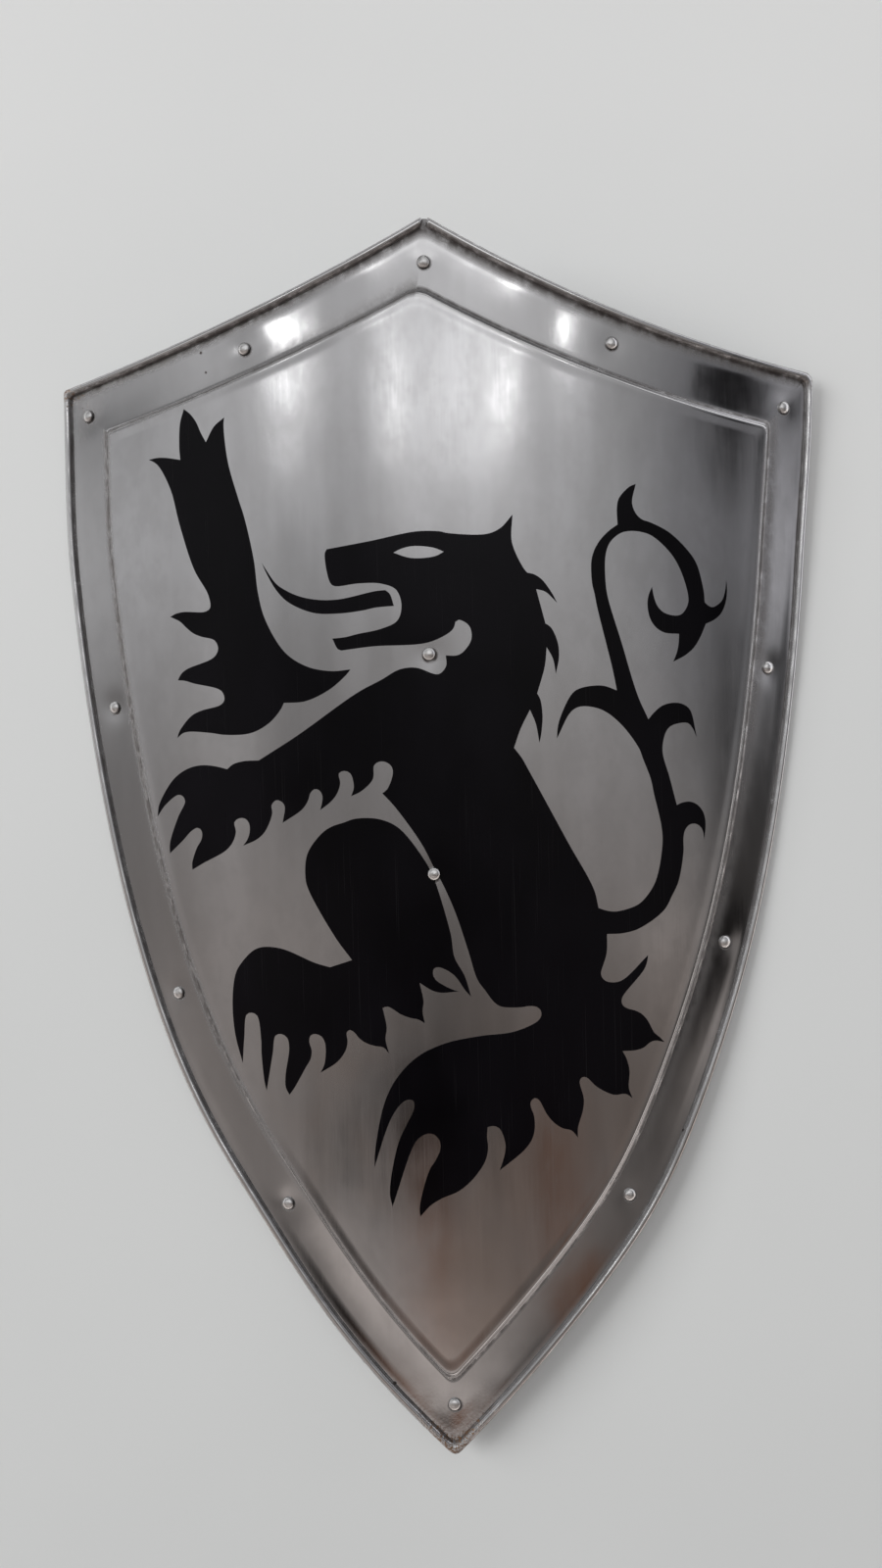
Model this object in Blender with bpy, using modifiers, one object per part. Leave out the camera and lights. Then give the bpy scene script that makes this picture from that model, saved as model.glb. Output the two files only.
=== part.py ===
"""Heater shield pressed from one sheet of steel, with a raised centre panel, a
riveted border, an edge rolled into a bead, and a leather hand grip behind it.

Metres, +Z up. The shield lies face up, as it comes to rest on a floor: apex
towards +Y, bottom tip towards -Y, its two long edges on the floor. The origin is
under the middle of its bounding box.

Every piece is laid out on the unrolled sheet first: s runs across it from the
centre line, t runs up it from the bottom tip, and h is the height above the flat
of the border. bent() bends that sheet round a cylinder whose axis runs along t.
"""

import math

import bmesh
import bpy
import numpy as np
from mathutils import Matrix, Vector

# ---------------------------------------------------------------- dimensions
HEIGHT = 0.711  # bottom tip to apex
SHOULDER_HEIGHT = 0.632  # bottom tip to the two upper corners
SHOULDER_HALF_WIDTH = 0.2331  # centre line to an upper corner, along the sheet
APEX_OFFSET, TIP_OFFSET = -0.0024, -0.0018  # from the centre line
TOP_SAG = {"right": 0.0149, "left": 0.0105}  # how far each top edge is hollowed
BEND_RADIUS = 0.520  # the sheet is bent round this, about its long axis
SHEET = 0.0012

SIDE_LEAN = -0.10  # radians from the long axis, where a side leaves its corner
# How sharply a side turns, in 1/m, at four places evenly spaced down it.
CORNER_CURVATURE, FLANK_CURVATURE, LOWER_CURVATURE, TIP_CURVATURE = 0.735, 0.80, 2.01, 0.975

# The shield is hand made, and its right side is fuller than its left.
LOW_SWELL, LOW_SWELL_AT, LOW_SWELL_REACH = 0.0040, 0.140, 0.055
SHOULDER_SWELL, SHOULDER_SWELL_FROM = 0.0040, 0.520

BORDER = {"right": 0.0350, "top_right": 0.0396, "top_left": 0.0354, "left": 0.0330}
STEP_RUN = {"right": 0.0055, "top_right": 0.0045, "top_left": 0.0040, "left": 0.0026}
PANEL_RISE = 0.0042  # centre panel above the border
STEP_RIDGE = 0.0004  # the pressed step stands this much above the panel
STEP_FOOT = 0.0016  # fillet at the foot of the step
RIDGE_FALL = 0.0060  # the ridge dies out in the panel over this distance
BORDER_DISH = 0.0004
BEAD_RADIUS = 0.0023  # the rolled edge
BEAD_FILLET = 0.0080  # where the border has become flat again, from the edge

CORNER_ROUND = {"tip": 0.0050, "right": 0.0060, "apex": 0.0040, "left": 0.0025}
INNER_ROUND = {"tip": 0.0080, "right": 0.0070, "apex": 0.0100, "left": 0.0060}
NOTCH_WIDTH, NOTCH_DEPTH = 0.0036, 0.0060  # the rolled edges stop short at the apex

RIVET_HEAD_RADIUS, RIVET_HEAD_HEIGHT = 0.0037, 0.0026
RIVET_SHANK_RADIUS, RIVET_HOLE_RADIUS = 0.0019, 0.0022
RIVET_TAIL_RADIUS, RIVET_TAIL_HEIGHT = 0.0031, 0.0014
GAP = 0.0003

BORDER_RIVETS = {  # name: (s, t)
    "rivet_apex": (-0.0035, 0.6857),
    "rivet_top_left": (-0.1084, 0.6431),
    "rivet_top_right": (0.1036, 0.6409),
    "rivet_corner_left": (-0.2127, 0.6151),
    "rivet_corner_right": (0.2165, 0.6104),
    "rivet_side_left_upper": (-0.2005, 0.4405),
    "rivet_side_right_upper": (0.2021, 0.4549),
    "rivet_side_left_middle": (-0.1627, 0.2699),
    "rivet_side_right_middle": (0.1689, 0.2921),
    "rivet_side_left_lower": (-0.0969, 0.1474),
    "rivet_side_right_lower": (0.1048, 0.1473),
    "rivet_tip": (-0.0017, 0.0302),
}
GRIP_RIVETS = {"rivet_grip_upper": (-0.0057, 0.4650), "rivet_grip_lower": (-0.0060, 0.3401)}

GRIP_WIDTH, GRIP_THICKNESS = 0.028, 0.004
GRIP_PAD = 0.016  # strap beyond each rivet
GRIP_FLAT = 0.011  # strap lying on the plate, inside each rivet
GRIP_RISE_LENGTH = 0.026
GRIP_FINGER_ROOM = 0.029
GRIP_EDGE_GAP = 0.0002  # the strap is flat across, and the plate behind it is not

SIDE_STEPS, TOP_STEPS, ROUND_STEPS = 22, 8, 4
PANEL_TOP_ROWS = 3

BANDS = ("right", "top_right", "top_left", "left")
CORNERS_AFTER = ("right", "apex", "left", "tip")  # the corner at each band's end


# ------------------------------------------------------------ plane geometry
def smooth(x):
    x = np.clip(x, 0.0, 1.0)
    return x * x * (3 - 2 * x)


def lengths(points):
    return np.concatenate([[0], np.cumsum(np.hypot(*np.diff(points, axis=0).T))])


def side_curve(steps=400):
    """One side from its upper corner to the tip, turning by the named curvatures."""
    curvatures = (CORNER_CURVATURE, FLANK_CURVATURE, LOWER_CURVATURE, TIP_CURVATURE)

    def run(length, half_width):
        at = np.linspace(0, length, steps)
        bend = np.interp(at / length, np.linspace(0, 1, len(curvatures)), curvatures)
        step = at[1] - at[0]
        angle = SIDE_LEAN + np.concatenate([[0], np.cumsum((bend[1:] + bend[:-1]) / 2 * step)])
        across, down = np.sin(angle), np.cos(angle)
        s = half_width - np.concatenate([[0], np.cumsum((across[1:] + across[:-1]) / 2 * step)])
        t = SHOULDER_HEIGHT - np.concatenate([[0], np.cumsum((down[1:] + down[:-1]) / 2 * step)])
        return np.stack([s, t], axis=1)

    length = SHOULDER_HEIGHT
    for _ in range(30):  # the side's length is the one that ends at the tip's height
        curve = run(length, SHOULDER_HALF_WIDTH)
        length += curve[-1, 1] / math.cos(0.8)
    share = np.linspace(0, 1, steps)
    curve[:, 0] -= curve[-1, 0] * share  # and it ends on the centre line
    curve[:, 1] -= curve[-1, 1] * share
    return curve


def swell(t):
    low = LOW_SWELL * np.exp(-(((t - LOW_SWELL_AT) / LOW_SWELL_REACH) ** 2))
    high = SHOULDER_SWELL * smooth((t - SHOULDER_SWELL_FROM) / (SHOULDER_HEIGHT - SHOULDER_SWELL_FROM))
    return low * smooth(t / 0.05) + high


def sharp_outline():
    """The four bands of the outline, anticlockwise from the tip, seen from the front."""
    side = side_curve()
    right, left = side[::-1].copy(), side.copy()
    right[:, 0] += swell(right[:, 1]) + TIP_OFFSET * (1 - smooth(right[:, 1] / 0.15))
    left[:, 0] = -left[:, 0] + swell(left[:, 1]) + TIP_OFFSET * (1 - smooth(left[:, 1] / 0.15))
    apex = np.array([APEX_OFFSET, HEIGHT])

    def hollow(start, end, sag):
        share = np.linspace(0, 1, 120)[:, None]
        chord = end - start
        normal = np.array([-chord[1], chord[0]]) / np.hypot(*chord)
        return start + chord * share + normal * sag * 4 * share * (1 - share)

    return [
        right,
        hollow(right[-1], apex, TOP_SAG["right"]),
        hollow(apex, left[0], TOP_SAG["left"]),
        left,
    ]


def offset_inwards(points, distance):
    along = np.gradient(points, axis=0)
    along /= np.hypot(*along.T)[:, None]
    moved = points + np.stack([-along[:, 1], along[:, 0]], axis=1) * distance
    first, last = moved[0] - moved[1], moved[-1] - moved[-2]
    reach = 0.08
    return np.concatenate(
        [
            [moved[0] + first / np.hypot(*first) * reach],
            moved,
            [moved[-1] + last / np.hypot(*last) * reach],
        ]
    )


def crossing(a, b):
    """Where polyline a crosses b, as a position along each."""
    for i in range(len(a) - 2, -1, -1):
        p, r = a[i], a[i + 1] - a[i]
        q, w = b[:-1], np.diff(b, axis=0)
        cross = r[0] * w[:, 1] - r[1] * w[:, 0]
        cross = np.where(abs(cross) < 1e-15, 1e-15, cross)
        x = ((q - p)[:, 0] * w[:, 1] - (q - p)[:, 1] * w[:, 0]) / cross
        y = ((q - p)[:, 0] * r[1] - (q - p)[:, 1] * r[0]) / cross
        hit = np.nonzero((x >= 0) & (x <= 1) & (y >= 0) & (y <= 1))[0]
        if len(hit):
            return i + x[hit[0]], hit[0] + y[hit[0]]
    raise ValueError("the bands do not meet")


def cut(points, start, end):
    def at(position):
        i = min(int(position), len(points) - 2)
        return points[i] + (points[i + 1] - points[i]) * (position - i)

    inner = points[int(math.floor(start)) + 1 : int(math.ceil(end))]
    return np.concatenate([[at(start)], inner, [at(end)]])


def sharp_step_line(outline):
    """The line of the pressed step: each band set in by its own border width."""
    moved = [offset_inwards(points, BORDER[name]) for name, points in zip(BANDS, outline)]
    meets = [crossing(moved[i], moved[(i + 1) % 4]) for i in range(4)]
    return [cut(moved[i], meets[(i - 1) % 4][1], meets[i][0]) for i in range(4)]


def rounded_loop(bands, radii):
    """One closed loop: every band resampled, with its corners rounded."""
    counts = (SIDE_STEPS, TOP_STEPS, TOP_STEPS, SIDE_STEPS)
    trimmed = []
    for i, points in enumerate(bands):
        along = lengths(points)
        start = radii[CORNERS_AFTER[(i - 1) % 4]]
        end = along[-1] - radii[CORNERS_AFTER[i]]
        at = np.linspace(start, end, counts[i] + 1)
        trimmed.append(np.stack([np.interp(at, along, points[:, k]) for k in (0, 1)], axis=1))
    loop = []
    for i in range(4):
        corner = bands[i][-1]
        before, after = trimmed[i][-1], trimmed[(i + 1) % 4][0]
        loop.extend(trimmed[i])
        for k in range(1, ROUND_STEPS):
            x = k / ROUND_STEPS
            loop.append(before * (1 - x) ** 2 + corner * 2 * x * (1 - x) + after * x * x)
    half = ROUND_STEPS // 2  # start the loop at the middle of the tip's rounding
    loop = np.array(loop)
    return np.roll(loop, half, axis=0)


def loop_corners():
    """Indices in the loop of the middle of each corner: tip, right, apex, left."""
    side, top = SIDE_STEPS + ROUND_STEPS, TOP_STEPS + ROUND_STEPS
    return 0, side, side + top, side + 2 * top


def along_loop(values):
    """A value per band, blended round the corners, for every point of the loop."""
    tip, right, apex, left = loop_corners()
    total = left + SIDE_STEPS + ROUND_STEPS
    spans = {"right": (tip, right), "top_right": (right, apex), "top_left": (apex, left), "left": (left, total)}
    out = np.zeros(total)
    for i, name in enumerate(BANDS):
        start, end = spans[name]
        for k in range(start, end):
            near_start, near_end = smooth((k - start) / 5), smooth((end - k) / 5)
            own, before, after = values[name], values[BANDS[i - 1]], values[BANDS[(i + 1) % 4]]
            mixed = own + (before - own) * (1 - near_start) / 2 + (after - own) * (1 - near_end) / 2
            out[k] = mixed
    return out


# ---------------------------------------------------------------- rest pose
def bent(s, t, h):
    """A point of the unrolled sheet, bent; before the shield is laid down."""
    angle = np.asarray(s) / BEND_RADIUS
    return np.stack(
        [
            (BEND_RADIUS + h) * np.sin(angle),
            np.asarray(t) + 0 * angle,
            (BEND_RADIUS + h) * np.cos(angle) - BEND_RADIUS,
        ],
        axis=-1,
    )


def rest_tilt():
    """How far the apex end rises when the shield rocks to rest on its two long edges.

    The edges hang lower than the centre line, and deeper further up. The shield
    rolls along them until its weight is over the place where they touch.
    """
    side = side_curve()[::-1]
    t = np.linspace(0.02, SHOULDER_HEIGHT, 800)
    half = np.interp(t, side[:, 1], side[:, 0])
    edge = bent(half, t, -SHEET)[:, 2]
    outline = np.concatenate(sharp_outline())
    x, y = outline.T
    x2, y2 = np.roll(x, -1), np.roll(y, -1)
    turn = x * y2 - x2 * y
    middle_t = float(((y + y2) * turn).sum() / (3 * turn.sum()))
    # A flat-bodied arch of this half width has its mass at about 0.577 of it across.
    middle_z = float(bent(np.interp(middle_t, t, half) * 0.577, middle_t, 0.0)[2])
    slope = np.gradient(edge, t)
    at = middle_t
    for _ in range(60):
        angle = math.atan(-float(np.interp(at, t, slope)))
        edge_z = float(np.interp(at, t, edge))
        at = middle_t + (edge_z - middle_z) * math.tan(angle)
    return angle


# ------------------------------------------------------------- scene helpers
def clear_scene():
    for obj in list(bpy.data.objects):
        bpy.data.objects.remove(obj, do_unlink=True)


def collection(name):
    made = bpy.data.collections.new(name)
    bpy.context.scene.collection.children.link(made)
    return made


def material(name, colour, roughness, metallic):
    made = bpy.data.materials.new(name)
    made.use_nodes = True
    shader = made.node_tree.nodes["Principled BSDF"]
    shader.inputs["Base Color"].default_value = (*colour, 1)
    shader.inputs["Roughness"].default_value = roughness
    shader.inputs["Metallic"].default_value = metallic
    return made


def add_object(name, mesh, into, look=None, parent=None):
    obj = bpy.data.objects.new(name, mesh)
    into.objects.link(obj)
    obj.parent = parent
    if look:
        mesh.materials.append(look)
    return obj


def shade_smooth(obj, degrees=35):
    obj.data.shade_smooth()
    obj.data.set_sharp_from_angle(angle=math.radians(degrees))


def boolean(obj, cutter, operation):
    modifier = obj.modifiers.new(f"{operation.lower()}_{cutter.name}", "BOOLEAN")
    modifier.operation = operation
    modifier.solver = "EXACT"
    modifier.object = cutter


def sheet_frame(s, t, h):
    """A frame on the sheet: X across it, Y up it, Z out of its front."""
    x, y, z = bent(s, t, h)
    return Matrix.Translation((x, y, z)) @ Matrix.Rotation(float(s) / BEND_RADIUS, 4, "Y")


# -------------------------------------------------------------------- plate
def front_profile(border, run):
    """The front of the sheet, from beside the bead to inside the step, as (u, h)."""
    return [
        (BEAD_FILLET, 0.0),
        (border * 0.5, -BORDER_DISH),
        (border - run - STEP_FOOT, 0.0),
        (border - run * 0.85, PANEL_RISE * 0.16),
        (border - run * 0.30, PANEL_RISE * 0.84),
        (border, PANEL_RISE + STEP_RIDGE),
        (border + RIDGE_FALL, PANEL_RISE),
    ]


def back_of(profile):
    """The same line one sheet thickness behind."""
    points = np.array(profile)
    along = np.diff(points, axis=0)
    along /= np.hypot(*along.T)[:, None]
    normals = np.stack([-along[:, 1], along[:, 0]], axis=1)
    normals = np.concatenate([normals[:1], (normals[:-1] + normals[1:]) / 2, normals[-1:]])
    normals[0] = normals[-1] = (0, 1)
    normals /= (normals**2).sum(axis=1)[:, None]
    return points - normals * SHEET


def bead_profile():
    """The rolled edge, from under its middle, out, over the top and in again."""
    centre_h = BEAD_RADIUS - SHEET
    angles = [math.radians(a) for a in (270, 225, 180, 135, 90, 45, 0, -16)]
    return [
        (BEAD_RADIUS * (1 + math.cos(a)), centre_h + BEAD_RADIUS * math.sin(a)) for a in angles
    ]


def build_plate(into, cutters, look, parent):
    outline = sharp_outline()
    outer = rounded_loop(outline, CORNER_ROUND)
    inner = rounded_loop(sharp_step_line(outline), INNER_ROUND)
    border, run = along_loop(BORDER), along_loop(STEP_RUN)
    total = len(outer)

    sections = []  # per loop point: the closed section, back panel edge to front panel edge
    for k in range(total):
        front = front_profile(border[k], run[k])
        back = back_of(front)[::-1]
        sections.append(np.concatenate([back, bead_profile(), front]))
    sections = np.array(sections)

    mesh = bmesh.new()
    rings = []
    for j in range(sections.shape[1]):
        share = (sections[:, j, 0] / border)[:, None]
        flat = outer + (inner - outer) * share
        ring = [mesh.verts.new(p) for p in bent(flat[:, 0], flat[:, 1], sections[:, j, 1])]
        rings.append(ring)
    for a, b in zip(rings[:-1], rings[1:]):
        for k in range(total):
            n = (k + 1) % total
            mesh.faces.new((a[k], b[k], b[n], a[n]))

    def fill_panel(ring, share_u, height, flip):
        """The centre panel: rows from the tip to the corners, then up to the top edges."""
        tip, right, apex, left = loop_corners()
        columns = left - right
        share = ((border + share_u) / border)[:, None]
        flat = outer + (inner - outer) * share
        rows = []
        for i in range(1, right + 1):
            a, b = flat[(total - i) % total], flat[i]
            inside = [a + (b - a) * c / columns for c in range(1, columns)]
            verts = [mesh.verts.new(bent(p[0], p[1], height)) for p in inside]
            rows.append([ring[(total - i) % total], *verts, ring[i]])
        base = [flat[left] + (flat[right] - flat[left]) * c / columns for c in range(columns + 1)]
        top = [flat[left - c] for c in range(columns + 1)]
        for r in range(1, PANEL_TOP_ROWS):
            x = r / PANEL_TOP_ROWS
            inside = [base[c] + (top[c] - base[c]) * x for c in range(1, columns)]
            rows.append([mesh.verts.new(bent(p[0], p[1], height)) for p in inside])
        top_ring = [ring[left - c] for c in range(columns + 1)]

        def face(*verts):
            distinct = list(dict.fromkeys(verts))
            if len(distinct) > 2:
                mesh.faces.new(distinct[::-1] if flip else distinct)

        for c in range(columns):
            face(ring[tip], rows[0][c + 1], rows[0][c])
        for low, high in zip(rows[: right - 1], rows[1:right]):
            for c in range(columns):
                face(low[c], low[c + 1], high[c + 1], high[c])
        shoulder, upper = rows[right - 1], rows[right:]
        upper = [[top_ring[0], *row, top_ring[-1]] for row in upper] + [top_ring]
        for low, high in zip([shoulder, *upper[:-1]], upper):
            for c in range(columns):
                face(low[c], low[c + 1], high[c + 1], high[c])

    fill_panel(rings[0], RIDGE_FALL, PANEL_RISE - SHEET, True)
    fill_panel(rings[-1], RIDGE_FALL, PANEL_RISE, False)
    bmesh.ops.recalc_face_normals(mesh, faces=mesh.faces)
    data = bpy.data.meshes.new("shield_plate")
    mesh.to_mesh(data)
    mesh.free()
    plate = add_object("shield_plate", data, into, look, parent)
    shade_smooth(plate, 30)

    for name, (s, t) in {**BORDER_RIVETS, **GRIP_RIVETS}.items():
        bpy.ops.mesh.primitive_cylinder_add(vertices=10, radius=RIVET_HOLE_RADIUS, depth=0.03)
        hole = bpy.context.object
        hole.name = f"hole_for_{name}"
        set_cutter(hole, cutters, parent)
        hole.matrix_local = sheet_frame(s, t, 0.0)
        boolean(plate, hole, "DIFFERENCE")

    bpy.ops.mesh.primitive_cone_add(vertices=3, radius1=1.0, radius2=1.0, depth=0.010)
    notch = bpy.context.object
    notch.name = "apex_notch"
    for vertex in notch.data.vertices:
        x, y = vertex.co.x, vertex.co.y
        vertex.co.x = x / math.sin(math.radians(60)) * NOTCH_WIDTH / 2
        vertex.co.y = -y / 1.5 * (NOTCH_DEPTH + 0.003)
    set_cutter(notch, cutters, parent)
    notch.matrix_local = sheet_frame(APEX_OFFSET, HEIGHT, 0.0052)
    bm = bmesh.new()
    bm.from_mesh(notch.data)
    bmesh.ops.recalc_face_normals(bm, faces=bm.faces)
    bm.to_mesh(notch.data)
    bm.free()
    boolean(plate, notch, "DIFFERENCE")
    return plate


def set_cutter(obj, cutters, parent):
    for holder in list(obj.users_collection):
        holder.objects.unlink(obj)
    cutters.objects.link(obj)
    obj.parent = parent
    obj.hide_render = True
    obj.display_type = "WIRE"


# ------------------------------------------------------------------- rivets
def build_rivet(name, s, t, head_h, tail_h, into, look, parent):
    """A domed head in front, a plain shank, and a hammered tail behind."""
    profile = []
    for k in range(4):  # the dome, from its crown to its rim
        a = math.radians(90 * k / 3)
        profile.append((RIVET_HEAD_RADIUS * math.sin(a), head_h + RIVET_HEAD_HEIGHT * math.cos(a)))
    profile += [
        (RIVET_SHANK_RADIUS, head_h),
        (RIVET_SHANK_RADIUS, tail_h),
        (RIVET_TAIL_RADIUS, tail_h),
        (RIVET_TAIL_RADIUS * 0.8, tail_h - RIVET_TAIL_HEIGHT * 0.8),
        (0.0, tail_h - RIVET_TAIL_HEIGHT),
    ]
    mesh = bpy.data.meshes.new(name)
    mesh.from_pydata([(x, 0, z) for x, z in profile], [(k, k + 1) for k in range(len(profile) - 1)], [])
    rivet = add_object(name, mesh, into, look, parent)
    screw = rivet.modifiers.new("turned", "SCREW")
    screw.axis = "Z"
    screw.steps = screw.render_steps = 10
    screw.use_merge_vertices = True
    screw.merge_threshold = 0.00005
    screw.use_smooth_shade = True
    rivet.matrix_local = sheet_frame(s, t, 0.0)
    return rivet


# --------------------------------------------------------------------- grip
def grip_line():
    """The strap's front face along t: flat under each rivet, bowed out between them."""
    low, high = GRIP_RIVETS["rivet_grip_lower"][1], GRIP_RIVETS["rivet_grip_upper"][1]
    seat = PANEL_RISE - SHEET - GAP - GRIP_EDGE_GAP
    start, end = low + GRIP_FLAT, high - GRIP_FLAT
    line = [(low - GRIP_PAD, seat), (low, seat)]
    for k in range(7):
        x = k / 6
        line.append((start + GRIP_RISE_LENGTH * x, seat - GRIP_FINGER_ROOM * float(smooth(x))))
    for k in range(7):
        x = k / 6
        line.append((end - GRIP_RISE_LENGTH * (1 - x), seat - GRIP_FINGER_ROOM * float(smooth(1 - x))))
    line += [(high, seat), (high + GRIP_PAD, seat)]
    return line


def build_grip(into, cutters, look, parent):
    centre = (GRIP_RIVETS["rivet_grip_lower"][0] + GRIP_RIVETS["rivet_grip_upper"][0]) / 2
    mesh = bmesh.new()
    rows = []
    for t, h in grip_line():
        place = sheet_frame(centre, t, h)
        rows.append([mesh.verts.new(place @ Vector((x * GRIP_WIDTH, 0, 0))) for x in (-0.5, 0.5)])
    for a, b in zip(rows[:-1], rows[1:]):
        mesh.faces.new((a[0], a[1], b[1], b[0]))
    data = bpy.data.meshes.new("back_grip")
    mesh.to_mesh(data)
    mesh.free()
    grip = add_object("back_grip", data, into, look, parent)
    solid = grip.modifiers.new("thickness", "SOLIDIFY")
    solid.thickness = GRIP_THICKNESS
    solid.offset = -1
    solid.use_even_offset = True
    edges = grip.modifiers.new("edges", "BEVEL")
    edges.width = 0.0010
    edges.segments = 1
    edges.limit_method = "ANGLE"
    edges.angle_limit = math.radians(60)
    for name, (s, t) in GRIP_RIVETS.items():
        bpy.ops.mesh.primitive_cylinder_add(vertices=10, radius=RIVET_HOLE_RADIUS, depth=0.02)
        hole = bpy.context.object
        hole.name = f"grip_hole_for_{name}"
        set_cutter(hole, cutters, parent)
        hole.matrix_local = sheet_frame(s, t, 0.0)
        boolean(grip, hole, "DIFFERENCE")
    shade_smooth(grip)
    return grip


# --------------------------------------------------------------------- build
def lay_down(root, plate):
    """Turns the shield to its rest and puts the origin under its bounding box."""
    angle = rest_tilt()
    turn = Matrix.Rotation(angle, 4, "X")
    points = np.array([turn @ v.co for v in plate.data.vertices])
    low, high = points.min(axis=0), points.max(axis=0)
    middle = (low + high) / 2
    root.matrix_world = Matrix.Translation((-middle[0], -middle[1], -low[2])) @ turn
    print(f"rest tilt {math.degrees(angle):.3f} degrees, moved {-middle[0]:.6f} {-middle[1]:.6f} {-low[2]:.6f}")


def main():
    clear_scene()
    parts, cutters = collection("steel_shield"), collection("cutters")
    steel = material("plate_steel", (0.42, 0.41, 0.40), 0.30, 1.0)
    rivet_steel = material("rivet_steel", (0.62, 0.61, 0.60), 0.22, 1.0)
    leather = material("grip_leather", (0.10, 0.055, 0.03), 0.6, 0.0)

    root = bpy.data.objects.new("shield_at_rest", None)
    parts.objects.link(root)

    plate = build_plate(parts, cutters, steel, root)
    for name, (s, t) in BORDER_RIVETS.items():
        build_rivet(name, s, t, GAP, -BORDER_DISH - SHEET - GAP, parts, rivet_steel, root)
    strap_back = PANEL_RISE - SHEET - GAP - GRIP_EDGE_GAP - GRIP_THICKNESS - GAP
    for name, (s, t) in GRIP_RIVETS.items():
        build_rivet(name, s, t, PANEL_RISE + GAP, strap_back, parts, rivet_steel, root)
    build_grip(parts, cutters, leather, root)
    lay_down(root, plate)
    bpy.context.view_layer.update()


main()
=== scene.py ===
"""The finish of a steel heater shield: satin sheet steel with a raised panel, a rolled
edge, domed rivets, a lion painted in black enamel, and a stitched leather grip behind.

Metres, +Z up. The shield lies face up on a pale floor, and the camera looks down on it.
Pieces are laid out on the unrolled sheet first: s runs across it from the centre line,
t runs up it from the bottom tip, and h is the height above the flat of the border.
"""

import math

import bmesh
import bpy
import numpy as np
from mathutils import Matrix, Vector, noise
from mathutils.bvhtree import BVHTree
from mathutils.geometry import delaunay_2d_cdt


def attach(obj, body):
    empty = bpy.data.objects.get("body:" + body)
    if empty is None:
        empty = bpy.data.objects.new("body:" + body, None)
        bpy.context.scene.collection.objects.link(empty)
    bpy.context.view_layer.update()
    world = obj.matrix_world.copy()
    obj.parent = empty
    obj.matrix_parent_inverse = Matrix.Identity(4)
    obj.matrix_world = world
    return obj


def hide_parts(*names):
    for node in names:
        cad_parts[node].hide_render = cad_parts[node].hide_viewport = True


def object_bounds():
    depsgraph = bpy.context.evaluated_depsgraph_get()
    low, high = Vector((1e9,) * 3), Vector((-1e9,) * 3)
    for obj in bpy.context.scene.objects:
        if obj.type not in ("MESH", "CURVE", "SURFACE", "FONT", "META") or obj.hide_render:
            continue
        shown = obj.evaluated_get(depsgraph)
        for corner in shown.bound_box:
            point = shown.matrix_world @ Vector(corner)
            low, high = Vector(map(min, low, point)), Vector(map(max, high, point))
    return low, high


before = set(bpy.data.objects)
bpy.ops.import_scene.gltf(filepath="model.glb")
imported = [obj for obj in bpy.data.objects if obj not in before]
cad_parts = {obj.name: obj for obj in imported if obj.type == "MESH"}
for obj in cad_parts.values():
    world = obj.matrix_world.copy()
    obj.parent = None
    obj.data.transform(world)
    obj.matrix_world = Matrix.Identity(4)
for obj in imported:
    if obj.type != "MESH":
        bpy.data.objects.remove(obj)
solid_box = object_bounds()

# ---------------------------------------------------------------- dimensions
HEIGHT = 0.711
SHOULDER_HEIGHT = 0.632
SHOULDER_HALF_WIDTH = 0.2331
APEX_OFFSET, TIP_OFFSET = -0.0024, -0.0018
TOP_SAG = {"right": 0.0149, "left": 0.0105}
BEND_RADIUS = 0.520
SHEET = 0.0012
SIDE_LEAN = -0.10
CORNER_CURVATURE, FLANK_CURVATURE, LOWER_CURVATURE, TIP_CURVATURE = 0.735, 0.80, 2.01, 0.975
LOW_SWELL, LOW_SWELL_AT, LOW_SWELL_REACH = 0.0040, 0.140, 0.055
SHOULDER_SWELL, SHOULDER_SWELL_FROM = 0.0040, 0.520
BORDER = {"right": 0.0350, "top_right": 0.0396, "top_left": 0.0354, "left": 0.0330}
STEP_RUN = {"right": 0.0055, "top_right": 0.0045, "top_left": 0.0040, "left": 0.0026}
PANEL_RISE = 0.0042
STEP_RIDGE = 0.00025
STEP_FOOT = 0.0016
RIDGE_FALL = 0.0060
BORDER_DISH = 0.00018
BEAD_RADIUS = 0.0023
BEAD_FILLET = 0.0080
CORNER_ROUND = {"tip": 0.0050, "right": 0.0060, "apex": 0.0040, "left": 0.0025}
INNER_ROUND = {"tip": 0.0070, "right": 0.0040, "apex": 0.0080, "left": 0.0028}
NOTCH_WIDTH = 0.0036
RIVET_HEAD_RADIUS, RIVET_HEAD_HEIGHT = 0.0037, 0.0026
RIVET_SHANK_RADIUS = 0.0019
RIVET_TAIL_RADIUS, RIVET_TAIL_HEIGHT = 0.0031, 0.0014
GAP = 0.0003
BORDER_RIVETS = {
    "rivet_apex": (-0.0035, 0.6857),
    "rivet_top_left": (-0.1084, 0.6431),
    "rivet_top_right": (0.1036, 0.6409),
    "rivet_corner_left": (-0.2127, 0.6151),
    "rivet_corner_right": (0.2165, 0.6104),
    "rivet_side_left_upper": (-0.2005, 0.4405),
    "rivet_side_right_upper": (0.2021, 0.4549),
    "rivet_side_left_middle": (-0.1627, 0.2699),
    "rivet_side_right_middle": (0.1689, 0.2921),
    "rivet_side_left_lower": (-0.0969, 0.1474),
    "rivet_side_right_lower": (0.1048, 0.1473),
    "rivet_tip": (-0.0017, 0.0302),
}
GRIP_RIVETS = {"rivet_grip_upper": (-0.0057, 0.4650), "rivet_grip_lower": (-0.0060, 0.3401)}
RIVETS = {**BORDER_RIVETS, **GRIP_RIVETS}
GRIP_WIDTH, GRIP_THICKNESS = 0.028, 0.004
GRIP_PAD = 0.016
GRIP_FLAT = 0.011
GRIP_RISE_LENGTH = 0.026
GRIP_FINGER_ROOM = 0.029
GRIP_EDGE_GAP = 0.0002

# Where the shield lies: turned about X on to its two long edges, and then moved.
REST_PLACE = (-0.0032102, -0.354874, 0.0141341)

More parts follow.
